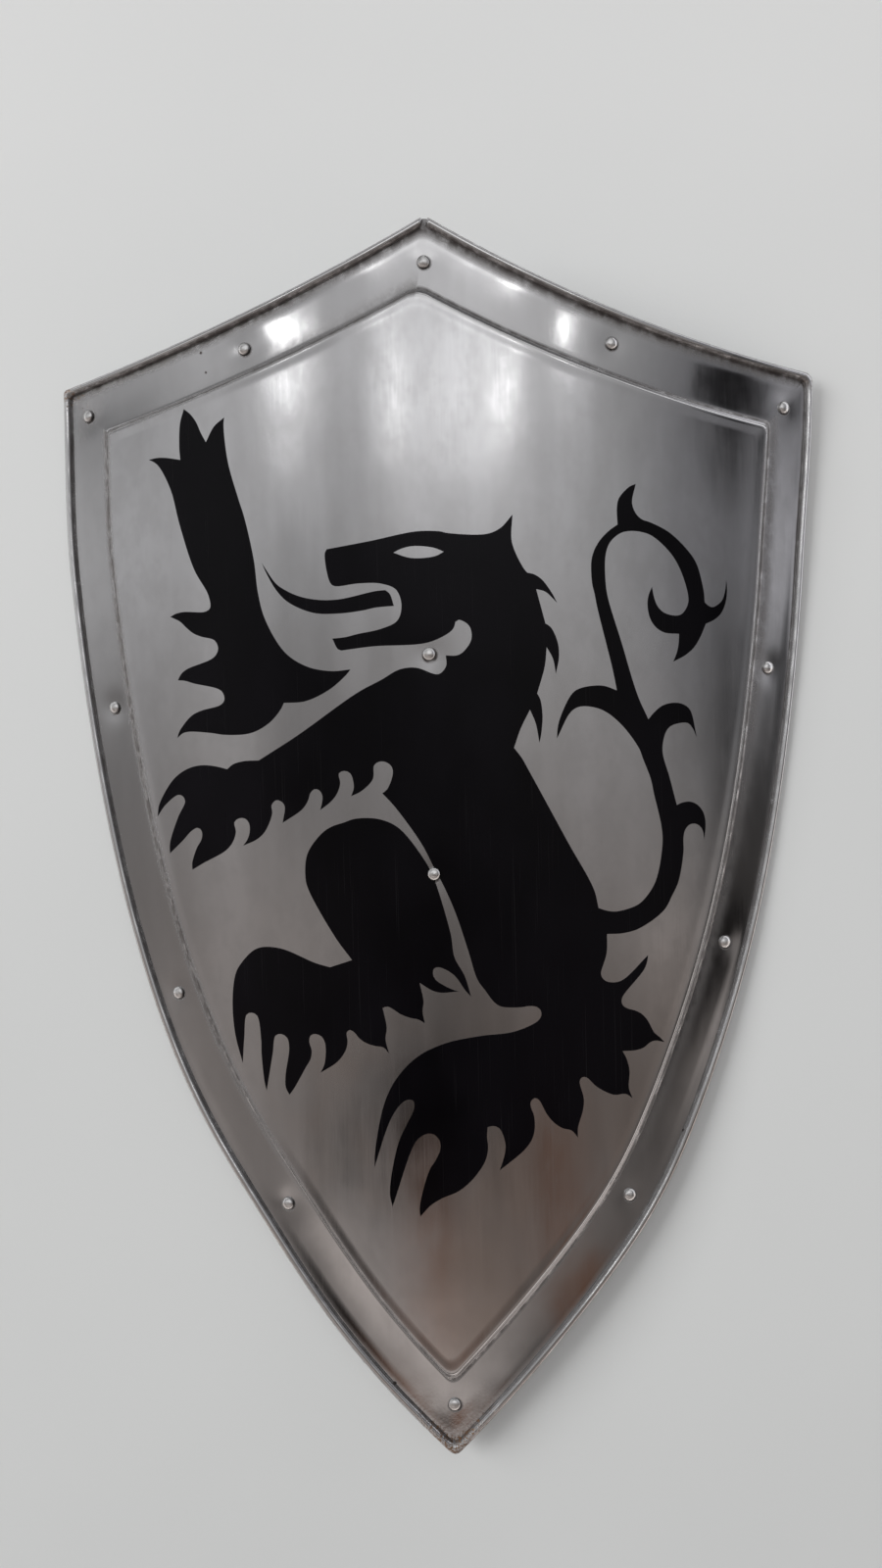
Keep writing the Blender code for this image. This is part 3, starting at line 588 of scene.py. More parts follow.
def build_plate(look):
    outline = sharp_outline()
    outer = rounded_loop(outline, CORNER_ROUND)
    inner = rounded_loop(sharp_step_line(outline), INNER_ROUND)
    border, run = along_loop(BORDER), along_loop(STEP_RUN)
    tip, right, apex, left, total = loop_corners()
    around = np.concatenate([[0], np.cumsum(np.hypot(*(np.roll(outer, -1, axis=0) - outer).T))])[:-1]

    sections, borders = [], []
    for k in range(total):
        s, t = outer[k]
        front = front_profile(border[k], run[k])
        back = back_of(front[3:])[::-1]
        uneven = 0.5 + 0.5 * wave(s, t, 0.014, 6.1) + 0.3 * wave(s, t, 0.005, 2.2)
        radius = BEAD_RADIUS * (1 - 0.06 * min(max(uneven, 0), 1))
        opened = float(1 - smooth((abs(around[k] - around[apex]) - NOTCH_WIDTH * 0.42) / 0.0005))
        sections.append(np.concatenate([back, LIP, bead_profile(radius, opened), front]))
        borders.append(opened)
    sections = np.array(sections)
    back_rings, lip_rings, bead_rings = len(back), len(LIP), len(BEAD_ANGLES)
    rings = sections.shape[1]
    crease = back_rings + lip_rings + bead_rings

    flat, height, grime_and_painted_shade, rust, crest_highlight, satin = [], [], [], [], [], []

    def add(s, t, h, darkening=0.0, rusty=0.0, bright=0.0, dull=1.0):
        flat.append((s, t))
        height.append(h)
        grime_and_painted_shade.append(darkening)
        rust.append(rusty)
        crest_highlight.append(bright)
        satin.append(dull)
        return len(flat) - 1

    corner_points = {n: outer[k] for n, k in zip(("tip", "right", "apex", "left"), (tip, right, apex, left))}
    faces, ring_ids = [], []
    for j in range(rings):
        ids = []
        for k in range(total):
            u, h = sections[k, j]
            point = outer[k] + (inner[k] - outer[k]) * (u / border[k])
            s, t = float(point[0]), float(point[1])
            lift = hammered(s, t) * float(smooth((u - 0.0045) / 0.006))
            front = j >= crease - 8
            patch = 0.55 + 0.45 * wave(s, t, 0.018, 4.4)
            near = {n: math.hypot(*(point - p)) for n, p in corner_points.items()}
            top_edge = right < k < left
            left_side = k > apex
            # Painted shade, with some dirt: a broad dark band over the fillet inside the rolled edge on the top
            # edges, and a dark line in the crease at the roll's foot elsewhere.
            if top_edge:  # a broad, dark fillet inside the rolled edge
                darkening = float(smooth((u - 0.0027) / 0.0008) * (1 - smooth((u - 0.0066) / 0.0026))) * (0.74 + 0.26 * patch)
            else:
                darkening = math.exp(-(((u - 0.0047) / 0.0006) ** 2)) * (0.6 + 0.4 * patch)
            # The back of the sheet is darker all over.
            if not front:
                darkening = 0.35 * patch
            # Painted shadow: the outer side of the roll is darker, as the shade under the edge.
            if u < 0.0008:
                darkening = max(darkening, 0.85 - u / 0.0008 * 0.3)
            # Painted shade at the step: a dark line down its wall, where the raised panel shades the border.
            wall = border[k] - run[k] * (0.42 if left_side else 0.95)
            wide = 0.0016 if left_side else 0.0010
            if front and u > 0.010:
                darkening = max(darkening, math.exp(-(((u - wall) / wide) ** 2)) * (0.8 + 0.2 * patch))
                foot = border[k] - run[k] - 0.0015
                # Painted shade: on the left, a crisp dark line from the step's foot on to the ridge's edge.
                if k > left:  # a crisp dark line, from the foot on to the edge of the ridge
                    high = float(smooth((t - 0.10) / 0.15))
                    darkening = max(darkening, high * math.exp(-(((u - foot - 0.0007) / 0.0017) ** 2)))
                    darkening = max(darkening, high * math.exp(-(((u - border[k]) / 0.0013) ** 2)))
                # Painted shade: a softer, darker band at the foot of the right side's step, and a faint one on its
                # crest.
                elif k < right:  # the right side's step has a softer, darker foot
                    high = float(smooth((t - 0.10) / 0.25))
                    darkening = max(darkening, 0.48 * high * math.exp(-(((u - foot + 0.0015) / 0.0042) ** 2)))
                    darkening = max(darkening, 0.45 * high * math.exp(-(((u - border[k]) / 0.0012) ** 2)))
                # Painted shade at the step's foot near the apex.
                elif apex < k < left:
                    darkening = max(darkening, 0.50 * math.exp(-((near["apex"] / 0.11) ** 2) - ((u - foot) / 0.0045) ** 2))
                # Painted shade: a darker patch on the border round the left corner, where its reflection is darker.
                darkening = max(darkening, 0.24 * float(1 - smooth((near["left"] - 0.027) / 0.007)) * (u < border[k] - run[k]))
            rusty = 0.0
            if u < 0.0075:
                rusty = max(
                    0.52 * math.exp(-((near["left"] / 0.020) ** 2)),
                    0.60 * math.exp(-((near["tip"] / 0.045) ** 2)),
                    0.50 * math.exp(-((near["right"] / 0.013) ** 2)),
                )
            elif front:
                rusty = max(
                    0.38 * math.exp(-((near["left"] / 0.026) ** 2)), 0.34 * math.exp(-((near["tip"] / 0.035) ** 2))
                )
            # Painted shade and dirt: the opened notch at the apex is dark.
            if borders[k] > 0.5 and u < 0.0048:
                darkening = 1.0
            # Painted highlight: a light line along the top of the roll, and along the step's crest on the upper
            # right edge, faint down the right side.
            bright = 0.0
            if front and u < 0.0034 and h > 0.0022:
                bright = 0.8
            if front and u > 0.012 and not left_side:
                bright = (0.8 if top_edge else 0.05) * math.exp(-(((u - border[k]) / 0.0010) ** 2))
            # The border is shinier, and its colour is painted a little darker, as painted shade.
            dull = float(smooth((u - border[k] + 0.002) / 0.006)) if front else 1.0
            ids.append(add(s, t, h + lift, darkening, rusty, bright, dull))
        ring_ids.append(ids)
    for a, b in zip(ring_ids[:-1], ring_ids[1:]):
        for k in range(total):
            n = (k + 1) % total
            faces.append((a[k], b[k], b[n], a[n]))

    # The front of the centre panel: rows up to the corners, then up to the top edges.
    ring = ring_ids[-1]
    edge = np.array([flat[i] for i in ring])
    columns = left - right
    rows = []
    for i in range(1, right + 1):
        a, b = edge[(total - i) % total], edge[i]
        inside = [a + (b - a) * c / columns for c in range(1, columns)]
        made = [add(p[0], p[1], PANEL_RISE + hammered(p[0], p[1])) for p in inside]
        rows.append([ring[(total - i) % total], *made, ring[i]])
    base = [edge[left] + (edge[right] - edge[left]) * c / columns for c in range(columns + 1)]
    high = [edge[left - c] for c in range(columns + 1)]
    for r in range(1, PANEL_TOP_ROWS):
        x = r / PANEL_TOP_ROWS
        inside = [base[c] + (high[c] - base[c]) * x for c in range(1, columns)]
        rows.append([add(p[0], p[1], PANEL_RISE + hammered(p[0], p[1])) for p in inside])
    top_ring = [ring[left - c] for c in range(columns + 1)]

    def face(*ids):
        distinct = list(dict.fromkeys(ids))
        if len(distinct) > 2:
            faces.append(tuple(distinct))

    for c in range(columns):
        face(ring[tip], rows[0][c + 1], rows[0][c])
    for low, up in zip(rows[: right - 1], rows[1:right]):
        for c in range(columns):
            face(low[c], low[c + 1], up[c + 1], up[c])
    upper = [[top_ring[0], *row, top_ring[-1]] for row in rows[right:]] + [top_ring]
    for low, up in zip([rows[right - 1], *upper[:-1]], upper):
        for c in range(columns):
            face(low[c], low[c + 1], up[c + 1], up[c])
    front_count = len(faces)

    # The back of the panel is plainer, on a square grid.
    ring = ring_ids[0]
    edge = np.array([flat[i] for i in ring])
    inside = [p for p in grid_in(edge, BACK_GRID) if clear_of(p, edge, BACK_GRID * 0.45)]
    points = [Vector(p) for p in edge] + [Vector(p) for p in inside]
    count = len(edge)
    made = delaunay_2d_cdt(points, [(i, (i + 1) % count) for i in range(count)], [], 0, 1e-7)
    ids = {}
    for new, old in enumerate(made[3]):
        if old and old[0] < count:
            ids[new] = ring[old[0]]
        else:
            p = made[0][new]
            ids[new] = add(p[0], p[1], PANEL_RISE - SHEET + hammered(p[0], p[1]), 0.35)
    for triangle in made[2]:
        middle = sum((made[0][i] for i in triangle), Vector((0, 0))) / 3
        if within(middle, edge):
            faces.append(tuple(ids[i] for i in reversed(triangle)))

    # The finer edge bulges a little past the solid's facets, and is held to its box.
    s, t = np.array(flat).T
    spots = [[min(max(c, low), high) for c, low, high in zip(p, *solid_box)] for p in laid(bent(s, t, np.array(height)))]
    mesh = mesh_from("shield_plate_sheet", spots, faces)
    face_outwards(mesh)
    add_values(mesh, "grime_and_painted_shade", np.clip(grime_and_painted_shade, 0, 1))
    add_values(mesh, "rust", np.clip(rust, 0, 1))
    add_values(mesh, "crest_highlight", np.clip(crest_highlight, 0, 1))
    add_values(mesh, "satin", np.clip(satin, 0, 1))
    plate = new_object("shield_plate_sheet", mesh, look)
    front = [f for f in faces[:front_count]]
    unrolled = BVHTree.FromPolygons([(a, b, h) for (a, b), h in zip(flat, height)], front)
    return plate, unrolled


def within(point, loop):
    """Whether a point is inside a closed loop."""
    x, y = point[0], point[1]
    a, b = loop, np.roll(loop, -1, axis=0)
    spans = (a[:, 1] > y) != (b[:, 1] > y)
    with np.errstate(divide="ignore", invalid="ignore"):
        at = a[:, 0] + (y - a[:, 1]) / (b[:, 1] - a[:, 1]) * (b[:, 0] - a[:, 0])
    return int((spans & (x < at)).sum()) % 2 == 1


def clear_of(point, loop, distance):
    return float(((loop - np.asarray(point)) ** 2).sum(axis=1).min()) > distance**2


def grid_in(loop, step):
    low, high = loop.min(axis=0), loop.max(axis=0)
    out = []
    for i, y in enumerate(np.arange(low[1] + step / 2, high[1], step * 0.87)):
        for x in np.arange(low[0] + step / 2 + (i % 2) * step / 2, high[0], step):
            if within((x, y), loop):
                out.append((x, y))
    return out


# --------------------------------------------------------------------- lion
def curved(points, per=4):
    """A smooth stroke through its points, sharp at both ends."""
    points = np.asarray(points, float)
    if len(points) == 2:
        return [points[0] + (points[1] - points[0]) * x for x in np.linspace(0, 1, per + 1)]
    ends = np.vstack([2 * points[0] - points[1], points, 2 * points[-1] - points[-2]])
    out = []
    for i in range(len(points) - 1):
        p0, p1, p2, p3 = ends[i : i + 4]
        k = [0.0]
        for a, b in ((p0, p1), (p1, p2), (p2, p3)):
            k.append(k[-1] + max(math.sqrt(np.hypot(*(b - a))), 1e-6))
        steps = max(1, min(8, int(round(np.hypot(*(p2 - p1)) / 1.6))))
        for n in range(steps):
            x = k[1] + (k[2] - k[1]) * n / steps
            a1 = (k[1] - x) / (k[1] - k[0]) * p0 + (x - k[0]) / (k[1] - k[0]) * p1
            a2 = (k[2] - x) / (k[2] - k[1]) * p1 + (x - k[1]) / (k[2] - k[1]) * p2
            a3 = (k[3] - x) / (k[3] - k[2]) * p2 + (x - k[2]) / (k[3] - k[2]) * p3
            b1 = (k[2] - x) / (k[2] - k[0]) * a1 + (x - k[0]) / (k[2] - k[0]) * a2
            b2 = (k[3] - x) / (k[3] - k[1]) * a2 + (x - k[1]) / (k[3] - k[1]) * a3
            out.append((k[2] - x) / (k[2] - k[1]) * b1 + (x - k[1]) / (k[2] - k[1]) * b2)
    out.append(points[-1])
    return out


def outline_of(strokes):
    loop = []
    for i, stroke in enumerate(strokes):
        after = strokes[(i + 1) % len(strokes)][0]
        loop.extend(curved([*stroke, after])[:-1])
    return np.array(loop) / 1000


def build_lion(look, unrolled):
    loops = {name: outline_of(strokes) for name, strokes in LION.items()}
    hole = loops.pop("eye")
    points, faces = [], []
    for name, loop in loops.items():
        rims = [loop] + ([hole] if name == "body" else [])
        flat, edges = [], []
        for rim in rims:
            first = len(flat)
            flat += [tuple(p) for p in rim]
            edges += [(first + i, first + (i + 1) % len(rim)) for i in range(len(rim))]
        everything = np.concatenate(rims)
        for p in grid_in(loop, PAINT_GRID):
            if clear_of(p, everything, PAINT_GRID * 0.4):
                flat.append(p)
        made = delaunay_2d_cdt([Vector(p) for p in flat], edges, [], 0, 1e-7)
        verts, triangles = made[0], []
        for triangle in made[2]:
            middle = sum((verts[i] for i in triangle), Vector((0, 0))) / 3
            if within(middle, loop) and not (name == "body" and within(middle, hole)):
                triangles.append(tuple(triangle))
        used = sorted({i for triangle in triangles for i in triangle})
        top, under = {}, {}
        for i in used:
            s, t = verts[i]
            hit = unrolled.ray_cast(Vector((s, t, 0.05)), Vector((0, 0, -1)))[0]
            h = hit[2]
            top[i] = len(points)
            points.append((s, t, h + PAINT))
            under[i] = len(points)
            points.append((s, t, h - 0.00010))
        sides = {}
        for a, b, c in triangles:
            faces.append((top[a], top[b], top[c]))
            faces.append((under[c], under[b], under[a]))
            for p, q in ((a, b), (b, c), (c, a)):
                sides[(p, q)] = sides.get((p, q), 0) + 1
        for p, q in sides:
            if (q, p) not in sides:
                faces.append((top[q], top[p], under[p], under[q]))
    s, t, h = np.array(points).T
    mesh = mesh_from("lion_paint", laid(bent(s, t, h)), faces)
    face_outwards(mesh)
    mesh.set_sharp_from_angle(angle=math.radians(40))
    return new_object("lion_paint", mesh, look)


# ------------------------------------------------------------------- rivets
def build_rivet(node, s, t, head_h, tail_h, look, seed):
    """A hammered dome in front, a plain shank, and a spread tail behind."""
    profile = [(0.0, head_h + RIVET_HEAD_HEIGHT)]
    for a in np.linspace(0, 90, 11)[1:-1]:
        a = math.radians(a)
        profile.append((RIVET_HEAD_RADIUS * math.sin(a), head_h + 0.0003 + (RIVET_HEAD_HEIGHT - 0.0003) * math.cos(a) ** 0.9))
    profile += [
        (RIVET_HEAD_RADIUS, head_h + 0.0004),
        (RIVET_HEAD_RADIUS, head_h + 0.0001),
        (RIVET_HEAD_RADIUS * 0.96, head_h - 0.0001),
        (RIVET_SHANK_RADIUS, head_h - 0.0001),
        (RIVET_SHANK_RADIUS, tail_h),
        (RIVET_TAIL_RADIUS * 0.97, tail_h),
        (RIVET_TAIL_RADIUS, tail_h - 0.0002),
        (RIVET_TAIL_RADIUS * 0.97, tail_h - RIVET_TAIL_HEIGHT * 0.55),
        (RIVET_TAIL_RADIUS * 0.80, tail_h - RIVET_TAIL_HEIGHT * 0.88),
        (RIVET_TAIL_RADIUS * 0.45, tail_h - RIVET_TAIL_HEIGHT * 0.97),
        (0.0, tail_h - RIVET_TAIL_HEIGHT),
    ]
    around = 32
    place = sheet_frame(s, t, 0.0)
    points, rows, rim = [], [], []
    for r, z in profile:
        if r == 0.0:
            rows.append([len(points)])
            points.append(place @ Vector((0, 0, z)))
            rim.append(0.0)
            continue
        row = []
        for k in range(around):
            a = 2 * math.pi * k / around
            x, y = math.cos(a), math.sin(a)
            beaten = 1 + 0.022 * wave(x * r, y * r, 0.0030, seed) * (r / RIVET_HEAD_RADIUS)
            drop = 0.00010 * wave(x * r, y * r, 0.0022, seed + 5) * (1 if z > head_h + 0.0005 else 0)
            if r <= RIVET_SHANK_RADIUS and z < head_h:
                beaten = 1
            row.append(len(points))
            points.append(place @ Vector((x * r * beaten, y * r * beaten, z + drop - 0.00006)))
            # Painted shade: the head is darker towards its rim, most at the lower right, away from the light.
            rim.append(float(smooth((r / RIVET_HEAD_RADIUS - 0.68) / 0.32)) * (0.55 + 0.45 * (x - y) * 0.7))
        rows.append(row)
    faces = []
    for a, b in zip(rows[:-1], rows[1:]):
        for k in range(around):
            n = (k + 1) % around
            if len(a) == 1:
                faces.append((a[0], b[k], b[n]))
            elif len(b) == 1:
                faces.append((a[k], b[0], a[n]))
            else:
                faces.append((a[k], b[k], b[n], a[n]))
    name = f"{node}_domed"
    mesh = mesh_from(name, points, faces)
    face_outwards(mesh)
    mesh.set_sharp_from_angle(angle=math.radians(50))
    add_values(mesh, "rim", rim)
    rivet = new_object(name, mesh, look)
    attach(rivet, "root")
    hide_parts(node)
    return rivet


# --------------------------------------------------------------------- grip
def grip_height(t):
    """The strap's front face: flat under each rivet, bowed out between them."""
    low, high = GRIP_RIVETS["rivet_grip_lower"][1], GRIP_RIVETS["rivet_grip_upper"][1]
    seat = PANEL_RISE - SHEET - GAP - GRIP_EDGE_GAP
    start, end = low + GRIP_FLAT, high - GRIP_FLAT
    rise = smooth((t - start) / GRIP_RISE_LENGTH) * smooth((end - t) / GRIP_RISE_LENGTH)
    return seat - (GRIP_FINGER_ROOM - 0.0002) * rise


def build_grip(leather, thread):
    middle = (GRIP_RIVETS["rivet_grip_lower"][0] + GRIP_RIVETS["rivet_grip_upper"][0]) / 2
    low = GRIP_RIVETS["rivet_grip_lower"][1] - GRIP_PAD
    high = GRIP_RIVETS["rivet_grip_upper"][1] + GRIP_PAD
    fine = np.linspace(low, high, 900)
    heights = np.array([float(grip_height(t)) for t in fine])
    along = np.concatenate([[0], np.cumsum(np.hypot(np.diff(fine), np.diff(heights)))])
    length = along[-1]
    slope_t = np.gradient(fine, along)
    slope_h = np.gradient(heights, along)

    def frame_at(d):
        t, h = np.interp(d, along, fine), np.interp(d, along, heights)
        a, b = np.interp(d, along, slope_t), np.interp(d, along, slope_h)
        size = math.hypot(a, b)
        return np.array([t, h]), np.array([-b, a]) / size  # place, and the way out of the front

    def place(d, x, depth):
        """A point of the strap: along it, across it, and down from its front face."""
        at, out = frame_at(d)
        t, h = at - out * depth
        side = sheet_frame(middle, t, h)
        return side @ Vector((x, 0, 0))

    half, thick, edge = GRIP_WIDTH / 2 - 0.0002, GRIP_THICKNESS, 0.0011
    end_round = 0.010
    section = []  # (across as a share, depth), round the strap
    groove = 0.0036
    across = [-1, -0.94, -0.80, -0.775, -0.74, -0.705, -0.68, -0.4, 0, 0.4, 0.68, 0.705, 0.74, 0.775, 0.80, 0.94, 1]
    for x in across[1:-1]:
        dip = 0.00028 * math.exp(-(((abs(x) - 0.74) / 0.028) ** 2))
        section.append((x, dip + 0.0001 * x * x))
    section += [(0.985, 0.0005), (1.0, 0.0013), (1.0, thick - 0.0013), (0.985, thick - 0.0005)]
    for x in reversed(across[1:-1]):
        dip = 0.00034 * math.exp(-(((abs(x) - 0.74) / 0.028) ** 2))
        section.append((x, thick - dip - 0.0001 * x * x))
    section += [(-0.985, thick - 0.0005), (-1.0, thick - 0.0013), (-1.0, 0.0013), (-0.985, 0.0005)]

    steps = [0.00002, 0.0004, 0.0010, 0.0020, 0.0034, 0.0050, 0.0070, 0.0090]
    stations = steps + list(np.linspace(0.0105, length - 0.0105, 96)) + [length - x for x in reversed(steps)]
    points, rows = [], []
    for d in stations:
        from_end = min(d, length - d)
        width = half
        if from_end < end_round:
            width = half - end_round + math.sqrt(max(end_round**2 - (end_round - from_end) ** 2, 0))
        thin = 0.78 + 0.22 * float(smooth(from_end / 0.0035))
        worn = 1 - 0.012 * max(0, wave(d, 0, 0.02, 7.7))
        row = []
        for x, depth in section:
            inset = (depth - thick / 2) * thin + thick / 2
            row.append(len(points))
            points.append(place(d, x * width * worn, inset))
        rows.append(row)
    count = len(section)
    faces = [tuple(rows[0]), tuple(reversed(rows[-1]))]
    for a, b in zip(rows[:-1], rows[1:]):
        for k in range(count):
            n = (k + 1) % count
            faces.append((a[k], a[n], b[n], b[k]))
    mesh = mesh_from("back_grip_strap", points, faces)
    face_outwards(mesh)
    mesh.set_sharp_from_angle(angle=math.radians(60))
    strap = new_object("back_grip_strap", mesh, leather)

    # Waxed thread in both grooves, on both faces.
    points, faces = [], []
    pitch, stitch, radius = 0.0046, 0.0034, 0.00034
    count = int((length - 0.014) / pitch)
    for side in (-1, 1):
        for face_sign in (0, 1):
            for n in range(count):
                start = 0.0072 + n * pitch
                rows = []
                for x in np.linspace(0, 1, 7):
                    d = start + stitch * x
                    lift = math.sin(math.pi * x)
                    r = radius * (0.55 + 0.45 * min(1, lift * 1.6))
                    depth = 0.00022 - 0.00030 * lift if face_sign == 0 else thick - 0.00026 + 0.00030 * lift
                    at = half * 0.74 * side + 0.00012 * (x - 0.5) * side
                    row = []
                    for k in range(6):
                        a = 2 * math.pi * k / 6
                        row.append(len(points))
                        points.append(place(d, at + r * math.cos(a), depth + r * math.sin(a) * 0.8))
                    rows.append(row)
                faces += [tuple(rows[0]), tuple(reversed(rows[-1]))]
                for a, b in zip(rows[:-1], rows[1:]):
                    for k in range(6):
                        m = (k + 1) % 6
                        faces.append((a[k], a[m], b[m], b[k]))
    mesh = mesh_from("back_grip_stitching", points, faces)
    face_outwards(mesh)
    stitching = new_object("back_grip_stitching", mesh, thread)
    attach(strap, "root")
    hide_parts("back_grip")
    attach(stitching, "root")
    return strap, stitching


# ---------------------------------------------------------------- materials
class Look:
    """A node material, with short ways to add its nodes."""

    def __init__(self, name):
        self.material = bpy.data.materials.new(name)
        self.material.use_nodes = True
        self.tree = self.material.node_tree
        self.shader = self.tree.nodes["Principled BSDF"]
        self.place = self.add("ShaderNodeTexCoord").outputs["Object"]

    def add(self, kind, **settings):
        made = self.tree.nodes.new(kind)
        for key, value in settings.items():
            setattr(made, key, value)
        return made

    def put(self, socket, value):
        if isinstance(value, bpy.types.NodeSocket):
            self.tree.links.new(value, socket)
        else:
            socket.default_value = value

    def stretched(self, x, y, z, turn=0.0, source=None):
        """The object's place, with its pattern squeezed by these amounts, in 1/m."""
        made = self.add("ShaderNodeMapping")
        made.inputs["Scale"].default_value = (x, y, z)
        made.inputs["Rotation"].default_value = (0, 0, turn)
        self.put(made.inputs["Vector"], source or self.place)
        return made.outputs["Vector"]

    def noise(self, where, detail=3.0, rough=0.55, distortion=0.0):
        made = self.add("ShaderNodeTexNoise")
        self.put(made.inputs["Vector"], where)
        made.inputs["Scale"].default_value = 1.0
        made.inputs["Detail"].default_value = detail
        made.inputs["Roughness"].default_value = rough
        made.inputs["Distortion"].default_value = distortion
        return made.outputs["Fac"]

    def cells(self, where, feature="F1", output="Distance"):
        made = self.add("ShaderNodeTexVoronoi", feature=feature)
        self.put(made.inputs["Vector"], where)
        made.inputs["Scale"].default_value = 1.0
        return made.outputs[output]

    def between(self, value, a, b, low=0.0, high=1.0, soft=True):
        """low where the value is a, high where it is b."""
        made = self.add("ShaderNodeMapRange", interpolation_type="SMOOTHSTEP" if soft else "LINEAR")
        for key, item in (("Value", value), ("From Min", a), ("From Max", b), ("To Min", low), ("To Max", high)):
            self.put(made.inputs[key], item)
        return made.outputs["Result"]

    def sum(self, kind, a, b=0.0):
        made = self.add("ShaderNodeMath", operation=kind)
        self.put(made.inputs[0], a)
        self.put(made.inputs[1], b)
        return made.outputs[0]

    def mix(self, share, a, b):
        made = self.add("ShaderNodeMix", data_type="RGBA")
        self.put(made.inputs[0], share)
        for socket, value in ((made.inputs[6], a), (made.inputs[7], b)):
            self.put(socket, (*value, 1) if isinstance(value, tuple) else value)
        return made.outputs[2]

    def value(self, name):
        made = self.add("ShaderNodeAttribute", attribute_name=name, attribute_type="GEOMETRY")
        return made.outputs["Fac"]

    def bump(self, height, distance, strength=1.0, before=None):
        made = self.add("ShaderNodeBump")
        made.inputs["Distance"].default_value = distance
        made.inputs["Strength"].default_value = strength
        self.put(made.inputs["Height"], height)
        if before:
            self.put(made.inputs["Normal"], before)
        return made.outputs["Normal"]

    def set(self, **values):
        for key, value in values.items():
            self.put(self.shader.inputs[key.replace("_", " ")], (*value, 1) if isinstance(value, tuple) else value)


def scratches(look, angles, length=7.0, width=1500.0, amount=0.055):
    """Thin, sparse scratches in a few directions, 0 to 1."""
    total = None
    for n, angle in enumerate(angles):
        lines = look.noise(look.stretched(width, length, 60, angle), 1.0, 0.5)
        where = look.noise(look.stretched(22 + 5 * n, 9, 22, angle + 0.6), 0.0)
        line = look.between(lines, 0.73 - amount, 0.76 - amount * 0.4)
        line = look.sum("MULTIPLY", line, look.between(where, 0.50, 0.66))
        total = line if total is None else look.sum("MAXIMUM", total, line)
    return total


